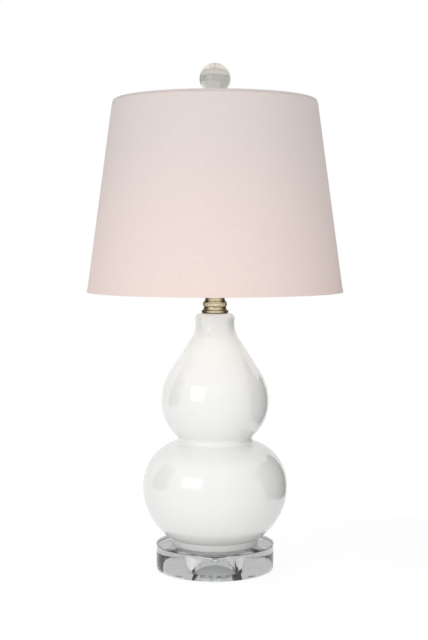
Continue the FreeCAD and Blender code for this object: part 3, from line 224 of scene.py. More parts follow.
def lathe_tree():
    """Turns an outline mesh about Z and cuts upright flutes where its "fluted" value is set."""
    tree = bpy.data.node_groups.new("lathe", "GeometryNodeTree")
    for name, kind in (("Outline", "Geometry"), ("Steps Around", "Int"), ("Flutes", "Int"),
                       ("Flute Depth", "Float"), ("Finish", "Material")):
        tree.interface.new_socket(name, in_out="INPUT", socket_type="NodeSocket" + kind)
    tree.interface.new_socket("Piece", in_out="OUTPUT", socket_type="NodeSocketGeometry")
    link = tree.links.new
    given = add_node(tree, "NodeGroupInput")
    result = add_node(tree, "NodeGroupOutput")
    size = add_node(tree, "GeometryNodeAttributeDomainSize")
    link(given.outputs["Outline"], size.inputs[0])
    columns = add_node(tree, "FunctionNodeIntegerMath", {"operation": "ADD"})
    link(given.outputs["Steps Around"], columns.inputs[0])
    columns.inputs[1].default_value = 1
    grid = add_node(tree, "GeometryNodeMeshGrid")
    link(columns.outputs[0], grid.inputs["Vertices X"])
    link(size.outputs["Point Count"], grid.inputs["Vertices Y"])
    index = add_node(tree, "GeometryNodeInputIndex")
    row = add_node(tree, "FunctionNodeIntegerMath", {"operation": "MODULO"})
    column = add_node(tree, "FunctionNodeIntegerMath", {"operation": "DIVIDE_FLOOR"})
    for count in (row, column):
        link(index.outputs[0], count.inputs[0])
        link(size.outputs["Point Count"], count.inputs[1])
    part_turn = add_node(tree, "ShaderNodeMath", {"operation": "DIVIDE"})
    link(column.outputs[0], part_turn.inputs[0])
    link(given.outputs["Steps Around"], part_turn.inputs[1])
    angle = add_node(tree, "ShaderNodeMath", {"operation": "MULTIPLY"})
    link(part_turn.outputs[0], angle.inputs[0])
    angle.inputs[1].default_value = math.tau
    corner = add_node(tree, "GeometryNodeSampleIndex", {"data_type": "FLOAT_VECTOR"})
    place = add_node(tree, "GeometryNodeInputPosition")
    link(given.outputs["Outline"], corner.inputs["Geometry"])
    link(place.outputs[0], corner.inputs["Value"])
    link(row.outputs[0], corner.inputs["Index"])
    mark = add_node(tree, "GeometryNodeInputNamedAttribute", {"data_type": "FLOAT"}, Name="fluted")
    fluted = add_node(tree, "GeometryNodeSampleIndex", {"data_type": "FLOAT"})
    link(given.outputs["Outline"], fluted.inputs["Geometry"])
    link(mark.outputs["Attribute"], fluted.inputs["Value"])
    link(row.outputs[0], fluted.inputs["Index"])
    wave_angle = add_node(tree, "ShaderNodeMath", {"operation": "MULTIPLY"})
    link(angle.outputs[0], wave_angle.inputs[0])
    link(given.outputs["Flutes"], wave_angle.inputs[1])
    wave = add_node(tree, "ShaderNodeMath", {"operation": "COSINE"})
    link(wave_angle.outputs[0], wave.inputs[0])
    dip = add_node(tree, "ShaderNodeMapRange", From_Min=-1.0, From_Max=1.0)
    link(wave.outputs[0], dip.inputs["Value"])
    groove = add_node(tree, "ShaderNodeMath", {"operation": "MULTIPLY"})
    link(dip.outputs["Result"], groove.inputs[0])
    link(fluted.outputs["Value"], groove.inputs[1])
    depth = add_node(tree, "ShaderNodeMath", {"operation": "MULTIPLY"})
    link(groove.outputs[0], depth.inputs[0])
    link(given.outputs["Flute Depth"], depth.inputs[1])
    inwards = add_node(tree, "ShaderNodeCombineXYZ")
    link(depth.outputs[0], inwards.inputs["X"])
    cut = add_node(tree, "ShaderNodeVectorMath", {"operation": "SUBTRACT"})
    link(corner.outputs["Value"], cut.inputs[0])
    link(inwards.outputs[0], cut.inputs[1])
    swing = add_node(tree, "ShaderNodeVectorRotate", {"rotation_type": "Z_AXIS"})
    link(cut.outputs[0], swing.inputs["Vector"])
    link(angle.outputs[0], swing.inputs["Angle"])
    move = add_node(tree, "GeometryNodeSetPosition")
    link(grid.outputs["Mesh"], move.inputs["Geometry"])
    link(swing.outputs[0], move.inputs["Position"])
    close = add_node(tree, "GeometryNodeMergeByDistance", Distance=weld_distance)
    link(move.outputs[0], close.inputs["Geometry"])
    real = add_node(tree, "GeometryNodeRealizeInstances")
    link(close.outputs[0], real.inputs[0])
    finish = add_node(tree, "GeometryNodeSetMaterial")
    link(real.outputs[0], finish.inputs["Geometry"])
    link(given.outputs["Finish"], finish.inputs["Material"])
    link(finish.outputs[0], result.inputs["Piece"])
    return tree


def set_inputs(modifier, values):
    """Sets a node modifier's inputs, found by name, through their identifiers."""
    for item in modifier.node_group.interface.items_tree:
        if item.in_out == "INPUT" and item.name in values:
            modifier[item.identifier] = values[item.name]


def applied(piece):
    """Replaces a piece's modifiers with the plain mesh that they make."""
    graph = bpy.context.evaluated_depsgraph_get()
    mesh = bpy.data.meshes.new_from_object(piece.evaluated_get(graph), depsgraph=graph)
    piece.modifiers.clear()
    piece.data = mesh
    return mesh


def face_outwards(mesh, crease=35):
    """Points the faces outwards and marks edges sharper than crease degrees."""
    shape = bmesh.new()
    shape.from_mesh(mesh)
    bmesh.ops.recalc_face_normals(shape, faces=shape.faces)
    for face in shape.faces:
        face.smooth = True
    shape.to_mesh(mesh)
    shape.free()
    mesh.set_sharp_from_angle(angle=math.radians(crease))


lathe = lathe_tree()


def turn_piece(name, outline, finish, around=128, flutes=0, flute_depth=0.0, fluted=()):
    """A turned piece; fluted gives the lowest and highest height of its flutes."""
    mesh = bpy.data.meshes.new(name + "_outline")
    steps = [(index, index + 1) for index in range(len(outline) - 1)]
    mesh.from_pydata([(across, 0, up) for across, up in outline], steps, [])
    marks = mesh.attributes.new("fluted", "FLOAT", "POINT")
    for mark, (across, up) in zip(marks.data, outline):
        mark.value = float(bool(fluted) and fluted[0] <= up <= fluted[1])
    piece = bpy.data.objects.new(name, mesh)
    bpy.context.scene.collection.objects.link(piece)
    turning = piece.modifiers.new("turning", "NODES")
    turning.node_group = lathe
    set_inputs(turning, {"Steps Around": around, "Flutes": flutes, "Flute Depth": flute_depth,
                         "Finish": finish})
    face_outwards(applied(piece))
    return piece


def settle(piece, body, slot, *replaced):
    """The piece rides on a body and stands for CAD nodes; its slot is not used."""
    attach(piece, body)
    if replaced:
        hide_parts(*replaced)
    return piece


def new_material(name, base, roughness, metallic=0.0):
    """A material with its node tree and its shader."""
    material = bpy.data.materials.new(name)
    material.use_nodes = True
    shader = material.node_tree.nodes["Principled BSDF"]
    shader.inputs["Base Color"].default_value = (*base, 1)
    shader.inputs["Roughness"].default_value = roughness
    shader.inputs["Metallic"].default_value = metallic
    return material, material.node_tree, shader


def mottle_group():
    """Slow variation over a surface: one noise, stretched to its range, in Object coordinates."""
    tree = bpy.data.node_groups.new("mottle", "ShaderNodeTree")
    for name, kind in (("Scale", "Float"), ("Stretch", "Vector"), ("Low", "Float"), ("High", "Float")):
        tree.interface.new_socket(name, in_out="INPUT", socket_type="NodeSocket" + kind)
    tree.interface.new_socket("Value", in_out="OUTPUT", socket_type="NodeSocketFloat")
    given = add_node(tree, "NodeGroupInput")
    result = add_node(tree, "NodeGroupOutput")
    place = add_node(tree, "ShaderNodeTexCoord")
    stretch = add_node(tree, "ShaderNodeVectorMath", {"operation": "MULTIPLY"})
    noise = add_node(tree, "ShaderNodeTexNoise", Detail=4.0, Roughness=0.55)
    spread = add_node(tree, "ShaderNodeMapRange", From_Min=0.3, From_Max=0.7)
    tree.links.new(place.outputs["Object"], stretch.inputs[0])
    tree.links.new(given.outputs["Stretch"], stretch.inputs[1])
    tree.links.new(stretch.outputs[0], noise.inputs["Vector"])
    tree.links.new(given.outputs["Scale"], noise.inputs["Scale"])
    tree.links.new(noise.outputs["Fac"], spread.inputs["Value"])
    tree.links.new(given.outputs["Low"], spread.inputs["To Min"])
    tree.links.new(given.outputs["High"], spread.inputs["To Max"])
    tree.links.new(spread.outputs["Result"], result.inputs["Value"])
    return tree


mottle = mottle_group()


def mottled(tree, scale, low, high, stretch=(1, 1, 1)):
    """The value socket of a mottle node."""
    node = add_node(tree, "ShaderNodeGroup", {"node_tree": mottle}, Scale=scale, Low=low, High=high)
    node.inputs["Stretch"].default_value = stretch
    return node.outputs["Value"]


def blend_colour(tree, shader, mask, first, second):
    """Base colour between two colours, by a mask."""
    mix = add_node(tree, "ShaderNodeMix", {"data_type": "RGBA"})
    mix.inputs["A"].default_value = (*first, 1)
    mix.inputs["B"].default_value = (*second, 1)
    tree.links.new(mask, mix.inputs["Factor"])
    tree.links.new(mix.outputs["Result"], shader.inputs["Base Color"])


def add_bump(tree, shader, height, distance, strength=1.0):
    """Raises the surface by a height mask, as far as distance in metres."""
    bump = add_node(tree, "ShaderNodeBump", Distance=distance, Strength=strength)
    tree.links.new(height, bump.inputs["Height"])
    tree.links.new(bump.outputs["Normal"], shader.inputs["Normal"])


glaze, glaze_tree, glaze_shader = new_material("white_glaze", (0.89, 0.89, 0.875), 0.07)
glaze_shader.inputs["IOR"].default_value = 1.5
glaze_shader.inputs["Coat Weight"].default_value = 0.35
glaze_shader.inputs["Coat Roughness"].default_value = 0.04
glaze_depth = mottled(glaze_tree, 9.0, 0.0, 1.0)
blend_colour(glaze_tree, glaze_shader, glaze_depth, (0.94, 0.94, 0.925), (0.92, 0.92, 0.90))
add_bump(glaze_tree, glaze_shader, mottled(glaze_tree, 22.0, 0.0, 1.0), 0.12 * MM)
glaze_tree.links.new(mottled(glaze_tree, 60.0, 0.05, 0.10), glaze_shader.inputs["Roughness"])

base_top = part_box("acrylic_base")[1].z
belly_radius, belly_z = 94 * MM, base_top + 76.2 * MM
side_arc = 82 * MM
waist_radius, waist_z, waist_arc = 48.9 * MM, belly_z + 61 * MM, 5.4 * MM
crown_radius, crown_z, crown_arc = 70 * MM, waist_z + 47.1 * MM, 74.3 * MM
neck_radius, neck_z, neck_arc = 25.4 * MM, crown_z + 101.5 * MM, 35.3 * MM
lip_radius, lip_z, lip_arc = neck_radius + 0.6 * MM, neck_z + 6 * MM, 7.5 * MM
shell_wall = 5 * MM
mouth_radius = 13 * MM
mouth_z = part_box("upper_gourd")[1].z
foot_height, foot_step, foot_taper = 10 * MM, 2 * MM, 2.7 * MM
foot_width, foot_recess, floor_thickness = 8 * MM, 3 * MM, 6 * MM
floor_hole = 6.5 * MM


def touching(wide, wide_z, narrow, narrow_z):
    """The radii's sum for two touching arcs, upright at a wide and at a narrow point."""
    step, rise = wide - narrow, wide_z - narrow_z
    return (step * step + rise * rise) / (2 * step)


def gourd_skin(inset, start_z):
    """The gourd's side from start_z to the top of its lip, moved in by inset."""
    side_centre = (belly_radius - side_arc, belly_z)
    waist_centre = (waist_radius + waist_arc, waist_z)
    skin = arc(side_centre, side_arc - inset, math.asin((start_z - belly_z) / (side_arc - inset)), 0, 30)
    for wide, wide_z in ((belly_radius, belly_z), (crown_radius, crown_z)):
        radius = touching(wide, wide_z, waist_radius, waist_z) - waist_arc
        centre = (wide - radius, wide_z)
        lean = math.atan2(waist_z - wide_z, waist_centre[0] - centre[0])
        if wide_z < waist_z:
            skin += arc(centre, radius - inset, 0, lean, 24)
            waist_start = lean + math.pi
        else:
            skin += arc(waist_centre, waist_arc + inset, waist_start, lean + math.pi, 16)
            skin += arc(centre, radius - inset, lean, 0, 18)
    crown_centre = Vector((crown_radius - crown_arc, crown_z))
    neck_centre = Vector((neck_radius + neck_arc, neck_z))
    span = neck_centre - crown_centre
    lean = math.atan2(span.y, span.x) - math.acos((crown_arc + neck_arc) / span.length)
    skin += arc(crown_centre, crown_arc - inset, 0, lean, 18)
    skin += arc(neck_centre, neck_arc + inset, lean + math.pi, math.pi, 14)
    top_arc = touching(lip_radius, lip_z, neck_radius, neck_z) - lip_arc
    top_centre = (neck_radius + top_arc, neck_z)
    lip_centre = (lip_radius - lip_arc, lip_z)
    lean = math.atan2(neck_z - lip_z, top_centre[0] - lip_centre[0])
    skin += arc(top_centre, top_arc + inset, math.pi, lean + math.pi, 4)
    skin += arc(lip_centre, lip_arc - inset, lean, math.radians(90), 14)
    return skin


outside = gourd_skin(0, base_top + foot_height)
inside = gourd_skin(shell_wall, base_top + foot_recess + floor_thickness)
foot_top = outside[0].x - foot_step
foot_bottom = foot_top - foot_taper
foot_inner = foot_bottom - foot_width
recess_z = base_top + foot_recess
foot = rounded([
    (floor_hole, recess_z),
    (foot_inner, recess_z, 1 * MM),
    (foot_inner, base_top, 1.2 * MM),
    (foot_bottom, base_top, 1.6 * MM),
    (foot_top, base_top + foot_height - foot_step / 2, 1.2 * MM),
    tuple(outside[0]),
], closed=False)
mouth = [Vector((mouth_radius, mouth_z)), Vector((mouth_radius, mouth_z - shell_wall))]
gourd_outline = foot + outside + mouth + inside[::-1]
gourd_outline += [Vector((floor_hole, inside[0].y)), Vector((floor_hole, recess_z))]
gourd = turn_piece("gourd", gourd_outline, glaze, around=224)

cord_hole_lean = math.radians(34)
cord_hole_radius = 5.5 * MM
cord_axis = Vector((0, math.cos(cord_hole_lean), -math.sin(cord_hole_lean)))
side_centre = Vector((0, belly_radius - side_arc, belly_z))
drill_mesh = bpy.data.meshes.new("drill")
shape = bmesh.new()
bmesh.ops.create_cone(shape, cap_ends=True, segments=64, radius1=cord_hole_radius, radius2=cord_hole_radius,
                      depth=4 * shell_wall)
shape.to_mesh(drill_mesh)
shape.free()
drill = bpy.data.objects.new("drill", drill_mesh)
bpy.context.scene.collection.objects.link(drill)
drill.location = side_centre + cord_axis * side_arc
drill.rotation_euler = cord_axis.to_track_quat("Z", "X").to_euler()
boring = gourd.modifiers.new("boring", "BOOLEAN")
boring.operation = "DIFFERENCE"
boring.solver = "EXACT"
boring.object = drill
face_outwards(applied(gourd))
bpy.data.objects.remove(drill)
settle(gourd, "stand", "white_glaze", "lower_gourd", "upper_gourd")


def dress(material, *names):
    """Gives CAD nodes a finish in place of the plain one that they came with."""
    for name in names:
        for slot in nodes[name].material_slots:
            slot.material = material


rubber, tree, shader = new_material("grommet_rubber", (0.80, 0.79, 0.76), 0.55)
blend_colour(tree, shader, mottled(tree, 300.0, 0.0, 1.0), (0.82, 0.81, 0.78), (0.76, 0.75, 0.72))
add_bump(tree, shader, mottled(tree, 900.0, 0.0, 1.0), 0.05 * MM)
dress(rubber, "cord_grommet")


# ---------------------------------------------------------------- clear base and bumpers
# A disc of cast acrylic, 6 by 1 1/4 inches, sawn, turned and polished all over. It is bored for the
# rod and counterbored below for the washer and nut. Four soft clear bumpers are stuck under it.
base_low, base_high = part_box("acrylic_base")
recess_radius, recess_depth = 26 * MM, 18 * MM
rod_hole = 5.3 * MM
base_edge = 0.8 * MM
bored_edge = 0.3 * MM

acrylic, tree, shader = new_material("clear_acrylic", (0.95, 0.96, 0.96), 0.01)
shader.inputs["Transmission Weight"].default_value = 1.0
shader.inputs["IOR"].default_value = 1.49
blend_colour(tree, shader, mottled(tree, 12.0, 0.0, 1.0), (0.96, 0.97, 0.97), (0.93, 0.94, 0.945))
tree.links.new(mottled(tree, 35.0, 0.0, 0.03), shader.inputs["Roughness"])
add_bump(tree, shader, mottled(tree, 45.0, 0.0, 1.0), 0.03 * MM)

clear_base = turn_piece("clear_base", rounded([
    (recess_radius, base_low.z, bored_edge),
    (base_high.x, base_low.z, base_edge),
    (base_high.x, base_high.z, base_edge),
    (rod_hole, base_high.z, bored_edge),
    (rod_hole, base_low.z + recess_depth),
    (recess_radius, base_low.z + recess_depth, bored_edge),
]), acrylic, around=256)
settle(clear_base, "stand", "clear_acrylic", "acrylic_base")

bumper, tree, shader = new_material("clear_bumper", (0.86, 0.87, 0.87), 0.25)
shader.inputs["Transmission Weight"].default_value = 0.6
shader.inputs["IOR"].default_value = 1.45
blend_colour(tree, shader, mottled(tree, 200.0, 0.0, 1.0), (0.88, 0.89, 0.89), (0.80, 0.81, 0.81))
dress(bumper, "bumper_feet")


# ---------------------------------------------------------------- rod, washer, nut and set screw
# Zinc plated steel: the hollow threaded rod that runs from the nut in the base up to the socket,
# its washer and nut, the socket's set screw and the switch shaft.
def lathe_lines(tree, shader, distance, low, high):
    """Fine turning marks round Z: a bump and a spread of roughness from one stretched noise."""
    marks = mottled(tree, 60.0, 0.0, 1.0, (1, 1, 40))
    add_bump(tree, shader, marks, distance)
    spread = add_node(tree, "ShaderNodeMapRange", To_Min=low, To_Max=high)
    tree.links.new(marks, spread.inputs["Value"])
    tree.links.new(spread.outputs["Result"], shader.inputs["Roughness"])


zinc, tree, shader = new_material("zinc_steel", (0.62, 0.63, 0.64), 0.32, metallic=1.0)
blend_colour(tree, shader, mottled(tree, 90.0, 0.0, 1.0), (0.66, 0.67, 0.68), (0.55, 0.56, 0.57))
lathe_lines(tree, shader, 0.02 * MM, 0.25, 0.42)
dress(zinc, "base_washer", "base_nut", "threaded_rod", "socket_set_screw", "switch_shaft")


# ---------------------------------------------------------------- brass neck
# Three turned brass pieces threaded on the rod: a cap with a rolled rim that closes the gourd's
# mouth, a knurled bulging collar and a tapered neck. Their colour is painted darker towards their
# sides as seen from the camera, a painted reflection of dark surroundings, over a little random tone.
cap_low, cap_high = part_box("vase_cap")
cap_rim = 2 * MM
cap_top_radius = 14.6 * MM
cap_plug_radius = 12.6 * MM
collar_low, collar_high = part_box("knurled_collar")
collar_radius, collar_end_radius = 15.5 * MM, 13.9 * MM
knurl_count, knurl_depth = 44, 0.5 * MM
knurl_start, knurl_end = 0.4 * MM, 1.4 * MM
steps_per_knurl = 8
cone_low, cone_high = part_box("neck_cone")
cone_bottom_radius, cone_top_radius = 13.4 * MM, 11.2 * MM

brass, tree, shader = new_material("antique_brass", (0.56, 0.47, 0.29), 0.2, metallic=1.0)
# Painted reflection: light brass where the surface faces the camera, near black where it turns away from it;
# random tone is added on top.
turned_away = add_node(tree, "ShaderNodeLayerWeight", Blend=0.5)
painted_dark_edge = add_node(tree, "ShaderNodeMapRange", From_Min=0.02, From_Max=0.40)
painted_edge_and_tone = add_node(tree, "ShaderNodeMath", {"operation": "ADD", "use_clamp": True})
tree.links.new(turned_away.outputs["Facing"], painted_dark_edge.inputs["Value"])
tree.links.new(painted_dark_edge.outputs["Result"], painted_edge_and_tone.inputs[0])
tree.links.new(mottled(tree, 70.0, 0.0, 0.12, (1, 1, 3)), painted_edge_and_tone.inputs[1])
blend_colour(tree, shader, painted_edge_and_tone.outputs[0], (0.92, 0.82, 0.58), (0.09, 0.058, 0.018))
lathe_lines(tree, shader, 0.005 * MM, 0.10, 0.20)

rise = cap_high.z - mouth_z - 2 * cap_rim
step = cap_high.x - cap_rim - cap_top_radius
flare = (rise * rise + step * step) / (2 * step)
vase_cap = turn_piece("brass_cap", [
    Vector((rod_hole, cap_low.z)),
    Vector((cap_plug_radius, cap_low.z)),
    Vector((cap_plug_radius, mouth_z)),
    *arc((cap_high.x - cap_rim, mouth_z + cap_rim), cap_rim, -math.pi / 2, math.pi / 2, 14),
    *arc((cap_top_radius + flare, cap_high.z), flare, math.pi + math.asin(rise / flare), math.pi, 8),
    Vector((rod_hole, cap_high.z)),
    Vector((rod_hole, cap_low.z)),
], brass)
settle(vase_cap, "stand", "antique_brass", "vase_cap")

half = (collar_high.z - collar_low.z) / 2
bulge = collar_radius - collar_end_radius
crown = (half * half + bulge * bulge) / (2 * bulge)
swell = math.asin(half / crown)
middle_z = (collar_low.z + collar_high.z) / 2
collar = turn_piece("brass_collar", [
    Vector((rod_hole, collar_low.z)),
    *arc((collar_radius - crown, middle_z), crown, -swell, swell, 16),
    Vector((rod_hole, collar_high.z)),
    Vector((rod_hole, collar_low.z)),
], brass, around=knurl_count * steps_per_knurl, flutes=knurl_count, flute_depth=knurl_depth,
    fluted=(collar_low.z + knurl_start, collar_high.z - knurl_end))
settle(collar, "stand", "antique_brass", "knurled_collar")

cone = turn_piece("brass_neck", rounded([
    (rod_hole, cone_low.z),
    (cone_bottom_radius, cone_low.z, 0.3 * MM),
    (cone_top_radius, cone_high.z, 0.3 * MM),
    (rod_hole, cone_high.z),
]), brass)
settle(cone, "stand", "antique_brass", "neck_cone")


# ---------------------------------------------------------------- harp, saddle and sleeves
# The harp is brass plated steel wire on a stamped saddle; two sleeves slide down over its feet.
dress(brass, "harp_saddle", "saddle_nut", "harp_bow", "harp_sleeve_left", "harp_sleeve_right", "harp_stud")


# ---------------------------------------------------------------- socket and switch
# A spun brass shell with a card liner round a black moulded body, a pressed brass screw shell with
# its spring contact, and a turn knob of the same black moulding on a steel shaft.
shell_brass, tree, shader = new_material("shell_brass", (0.78, 0.64, 0.36), 0.2, metallic=1.0)
blend_colour(tree, shader, mottled(tree, 60.0, 0.0, 1.0, (1, 1, 4)), (0.80, 0.66, 0.38), (0.66, 0.52, 0.28))
lathe_lines(tree, shader, 0.02 * MM, 0.14, 0.28)
dress(shell_brass, "socket_cap", "socket_shell")

card, tree, shader = new_material("liner_card", (0.60, 0.50, 0.36), 0.85)
blend_colour(tree, shader, mottled(tree, 150.0, 0.0, 1.0, (1, 1, 5)), (0.66, 0.56, 0.42), (0.52, 0.43, 0.30))
add_bump(tree, shader, mottled(tree, 600.0, 0.0, 1.0), 0.08 * MM)
dress(card, "socket_liner")

moulding, tree, shader = new_material("socket_moulding", (0.035, 0.034, 0.033), 0.35)
blend_colour(tree, shader, mottled(tree, 120.0, 0.0, 1.0), (0.045, 0.043, 0.041), (0.028, 0.027, 0.026))
add_bump(tree, shader, mottled(tree, 700.0, 0.0, 1.0), 0.04 * MM)
dress(moulding, "socket_body", "switch_knob")

contact, tree, shader = new_material("contact_metal", (0.72, 0.56, 0.30), 0.3, metallic=1.0)
blend_colour(tree, shader, mottled(tree, 90.0, 0.0, 1.0), (0.76, 0.60, 0.33), (0.60, 0.45, 0.23))
tree.links.new(mottled(tree, 200.0, 0.22, 0.42), shader.inputs["Roughness"])
dress(contact, "screw_shell", "centre_contact", "bulb_contact")


# ---------------------------------------------------------------- bulb
# A clear glass household bulb with four phosphor coated sticks on a glass stem, a rolled aluminium
# screw cap and a black glass insulator round its contact.
clear_glass, tree, shader = new_material("bulb_glass", (0.97, 0.97, 0.96), 0.0)
shader.inputs["Transmission Weight"].default_value = 1.0
shader.inputs["IOR"].default_value = 1.5
tree.links.new(mottled(tree, 30.0, 0.0, 0.02), shader.inputs["Roughness"])
blend_colour(tree, shader, mottled(tree, 14.0, 0.0, 1.0), (0.985, 0.985, 0.98), (0.95, 0.955, 0.95))
dress(clear_glass, "bulb_globe", "bulb_stem")

cap_metal, tree, shader = new_material("cap_aluminium", (0.80, 0.80, 0.81), 0.3, metallic=1.0)
blend_colour(tree, shader, mottled(tree, 90.0, 0.0, 1.0), (0.83, 0.83, 0.84), (0.72, 0.72, 0.73))
lathe_lines(tree, shader, 0.02 * MM, 0.22, 0.36)
dress(cap_metal, "bulb_cap")

black_glass, tree, shader = new_material("insulator_glass", (0.02, 0.02, 0.025), 0.1)
tree.links.new(mottled(tree, 150.0, 0.06, 0.16), shader.inputs["Roughness"])
dress(black_glass, "bulb_insulator")

stick, tree, shader = new_material("filament", (0.92, 0.70, 0.28), 0.6)
blend_colour(tree, shader, mottled(tree, 400.0, 0.0, 1.0), (0.94, 0.74, 0.32), (0.86, 0.62, 0.22))
dress(stick, "bulb_filaments")


# ---------------------------------------------------------------- shade
# Fine plain weave cloth in pale blush, bonded to white styrene and rolled into a truncated cone
# that turns in over the top hoop in a round shoulder, under a narrow hem. Its map is its flat cut in
# metres, parted at the back, so the threads run as on the real cone.
shade_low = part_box("shade_fabric")[0]
shade_bottom_radius, shade_top_radius = 165.1 * MM, 131.8 * MM
shade_bottom_z, shade_top_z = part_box("shade_bottom_trim")[0].z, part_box("shade_top_trim")[1].z
shade_shoulder, hoop_half = 8 * MM, 1.4 * MM
cloth_inset, cloth_thickness = 0.4 * MM, 0.6 * MM
cone_lean = math.atan2(shade_bottom_radius - shade_top_radius, shade_top_z - shade_bottom_z)
bend_z = shade_top_z - shade_shoulder
bend_radius = shade_top_radius + shade_shoulder * (math.tan(cone_lean) - 1 / math.cos(cone_lean))


def shade_layer(inset):
    """The shade's section at an inset square to its wall: up the wall and round the shoulder."""
    drawn_in = (shade_low.z - shade_bottom_z) * math.tan(cone_lean) + inset / math.cos(cone_lean)
    foot = shade_bottom_radius - drawn_in
    section = [Vector((foot, shade_low.z))]
    section += arc((bend_radius, bend_z), shade_shoulder - inset, cone_lean, math.pi / 2, 12)
    return section + [Vector((bend_radius - hoop_half, bend_z + shade_shoulder - inset))]


def unroll(piece):
    """Maps a piece of the shade as its cloth lies flat, in metres, parted at the back."""
    mesh = piece.data
    flat = mesh.uv_layers.new(name="flat_cut")
    sine = math.sin(cone_lean)
    apex_z = shade_top_z + shade_top_radius / math.tan(cone_lean)
    bend_reach = (bend_radius + shade_shoulder * math.cos(cone_lean)) / sine
    for face in mesh.polygons:
        middle = math.atan2(face.center.x, -face.center.y)
        for corner in face.loop_indices:
            spot = mesh.vertices[mesh.loops[corner].vertex_index].co
            across = math.hypot(spot.x, spot.y)
            turned_in = math.atan2(spot.z - bend_z, across - bend_radius) - cone_lean
            reach = math.hypot(across, spot.z - apex_z)
            if spot.z > bend_z and turned_in > 0:
                reach = bend_reach - shade_shoulder * turned_in
            angle = math.atan2(spot.x, -spot.y)
            angle += math.tau * round((middle - angle) / math.tau)
            flat.data[corner].uv = (reach * math.sin(angle * sine), -reach * math.cos(angle * sine))


def weave_group():
    """Over and under threads on the flat cut, with thick and thin places along each thread."""
    tree = bpy.data.node_groups.new("weave", "ShaderNodeTree")
    for name, way in (("Pitch", "INPUT"), ("Height", "OUTPUT"), ("Slubs", "OUTPUT")):
        tree.interface.new_socket(name, in_out=way, socket_type="NodeSocketFloat")
    given = add_node(tree, "NodeGroupInput")
    result = add_node(tree, "NodeGroupOutput")
    place = add_node(tree, "ShaderNodeUVMap", {"uv_map": "flat_cut"})
    apart = add_node(tree, "ShaderNodeSeparateXYZ")
    tree.links.new(place.outputs["UV"], apart.inputs[0])
    rate = add_node(tree, "ShaderNodeMath", {"operation": "DIVIDE"})
    rate.inputs[0].default_value = math.pi
    tree.links.new(given.outputs["Pitch"], rate.inputs[1])
    waves = []
    for axis in ("X", "Y"):
        angle = add_node(tree, "ShaderNodeMath", {"operation": "MULTIPLY"})
        tree.links.new(apart.outputs[axis], angle.inputs[0])
        tree.links.new(rate.outputs[0], angle.inputs[1])
        wave = add_node(tree, "ShaderNodeMath", {"operation": "SINE"})
        tree.links.new(angle.outputs[0], wave.inputs[0])
        waves.append(wave)
    crossing = add_node(tree, "ShaderNodeMath", {"operation": "MULTIPLY"})
    tree.links.new(waves[0].outputs[0], crossing.inputs[0])
    tree.links.new(waves[1].outputs[0], crossing.inputs[1])
    raised = add_node(tree, "ShaderNodeMath", {"operation": "ABSOLUTE"})
    tree.links.new(crossing.outputs[0], raised.inputs[0])
    noises = []
    for stretch in ((60, 1400, 1), (1400, 60, 1)):
        run = add_node(tree, "ShaderNodeVectorMath", {"operation": "MULTIPLY"})
        run.inputs[1].default_value = stretch
        tree.links.new(place.outputs["UV"], run.inputs[0])
        noise = add_node(tree, "ShaderNodeTexNoise", Scale=1.0, Detail=2.0)
        tree.links.new(run.outputs[0], noise.inputs["Vector"])
        noises.append(noise)
    slub = add_node(tree, "ShaderNodeMath", {"operation": "ADD"})
    tree.links.new(noises[0].outputs["Fac"], slub.inputs[0])
    tree.links.new(noises[1].outputs["Fac"], slub.inputs[1])
    spread = add_node(tree, "ShaderNodeMapRange", From_Min=0.7, From_Max=1.3)
    tree.links.new(slub.outputs[0], spread.inputs["Value"])
    height = add_node(tree, "ShaderNodeMath", {"operation": "MULTIPLY_ADD"})
    tree.links.new(spread.outputs["Result"], height.inputs[0])
    height.inputs[1].default_value = 0.6
    tree.links.new(raised.outputs[0], height.inputs[2])
    tree.links.new(height.outputs[0], result.inputs["Height"])
    tree.links.new(spread.outputs["Result"], result.inputs["Slubs"])
    return tree


weave = weave_group()
cloth, tree, shader = new_material("shade_cloth", (0.80, 0.70, 0.67), 0.85)
thread_pitch = 0.55 * MM
threads = add_node(tree, "ShaderNodeGroup", {"node_tree": weave}, Pitch=thread_pitch)
place = add_node(tree, "ShaderNodeTexCoord")
apart = add_node(tree, "ShaderNodeSeparateXYZ")
# Painted glow: the cloth is painted warmer and lighter towards the bottom and paler towards the top,
# standing in for light that comes through it; the thread slubs then vary it at random.
painted_glow_height = add_node(tree, "ShaderNodeMapRange", {"interpolation_type": "SMOOTHSTEP"},
                 From_Min=shade_bottom_z, From_Max=shade_top_z)
blush = add_node(tree, "ShaderNodeMix", {"data_type": "RGBA"})
blush.inputs["A"].default_value = (0.895, 0.745, 0.695, 1)
blush.inputs["B"].default_value = (0.765, 0.68, 0.655, 1)
uneven = add_node(tree, "ShaderNodeMapRange", To_Min=0.955, To_Max=1.02)
painted_glow_and_slubs = add_node(tree, "ShaderNodeMix", {"data_type": "RGBA", "blend_type": "MULTIPLY"})
painted_glow_and_slubs.inputs["Factor"].default_value = 1.0
tree.links.new(place.outputs["Object"], apart.inputs[0])
tree.links.new(apart.outputs["Z"], painted_glow_height.inputs["Value"])
tree.links.new(painted_glow_height.outputs["Result"], blush.inputs["Factor"])
tree.links.new(threads.outputs["Slubs"], uneven.inputs["Value"])
tree.links.new(blush.outputs["Result"], painted_glow_and_slubs.inputs["A"])
tree.links.new(uneven.outputs["Result"], painted_glow_and_slubs.inputs["B"])
tree.links.new(painted_glow_and_slubs.outputs["Result"], shader.inputs["Base Color"])
add_bump(tree, shader, threads.outputs["Height"], 0.06 * MM, 0.5)
shader.inputs["Sheen Weight"].default_value = 0.1
shader.inputs["Sheen Roughness"].default_value = 0.5

cloth_outside = shade_layer(cloth_inset)
cloth_section = cloth_outside + shade_layer(cloth_inset + cloth_thickness)[::-1] + cloth_outside[:1]
shade_cloth = turn_piece("shade_cloth", cloth_section, cloth, around=256)
unroll(shade_cloth)
settle(shade_cloth, "shade", "shade_cloth", "shade_fabric")

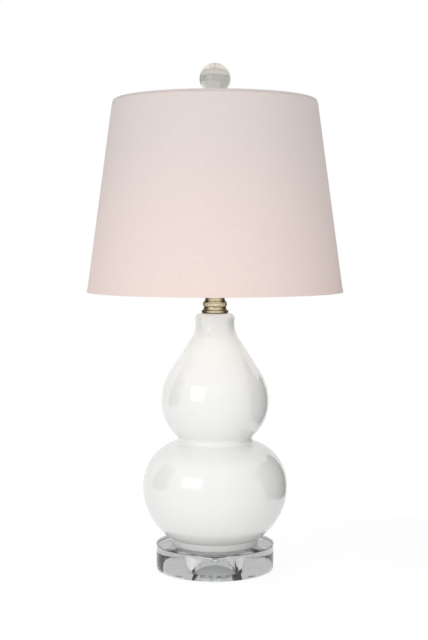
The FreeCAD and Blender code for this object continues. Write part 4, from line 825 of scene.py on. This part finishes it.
for hem_name, node_name in (("top_hem", "shade_top_trim"), ("bottom_hem", "shade_bottom_trim")):
    shape = bmesh.new()
    shape.from_mesh(nodes[node_name].data)
    bmesh.ops.remove_doubles(shape, verts=shape.verts, dist=weld_distance)
    mesh = bpy.data.meshes.new(hem_name)
    shape.to_mesh(mesh)
    shape.free()
    mesh.materials.clear()
    mesh.materials.append(cloth)
    hem = bpy.data.objects.new(hem_name, mesh)
    bpy.context.scene.collection.objects.link(hem)
    face_outwards(mesh)
    unroll(hem)
    settle(hem, "shade", "shade_cloth", node_name)

backing, tree, shader = new_material("shade_backing", (0.86, 0.84, 0.82), 0.45)
blend_colour(tree, shader, mottled(tree, 12.0, 0.0, 1.0), (0.87, 0.85, 0.83), (0.84, 0.82, 0.80))
tree.links.new(mottled(tree, 40.0, 0.38, 0.52), shader.inputs["Roughness"])
dress(backing, "shade_liner")

enamel, tree, shader = new_material("frame_enamel", (0.80, 0.80, 0.78), 0.3)
blend_colour(tree, shader, mottled(tree, 80.0, 0.0, 1.0), (0.82, 0.82, 0.80), (0.76, 0.76, 0.74))
add_bump(tree, shader, mottled(tree, 250.0, 0.0, 1.0), 0.05 * MM)
dress(enamel, "shade_top_ring", "shade_bottom_ring", "spider_hub", "spider_arms")


# ---------------------------------------------------------------- finial
# A solid polished crystal ball, glued in a turned brass cup that screws down on the harp's stud.
ball_low, ball_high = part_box("finial_ball")
crystal, tree, shader = new_material("crystal", (0.97, 0.97, 0.96), 0.0)
shader.inputs["Transmission Weight"].default_value = 1.0
shader.inputs["IOR"].default_value = 1.52
# The clear glass is painted a warm tint, a painted reflection of the tan surroundings seen through the ball,
# with a little random tone.
blend_colour(tree, shader, mottled(tree, 20.0, 0.0, 1.0), (0.90, 0.88, 0.83), (0.85, 0.83, 0.77))
tree.links.new(mottled(tree, 60.0, 0.0, 0.02), shader.inputs["Roughness"])

ball_radius = (ball_high.z - ball_low.z) / 2
ball_z = ball_high.z - ball_radius
ball_section = arc((0, ball_z), ball_radius, -math.pi / 2, math.pi / 2, 96)
ball = turn_piece("crystal_ball", ball_section, crystal, around=192)
settle(ball, "finial", "crystal", "finial_ball")
dress(brass, "finial_cup")
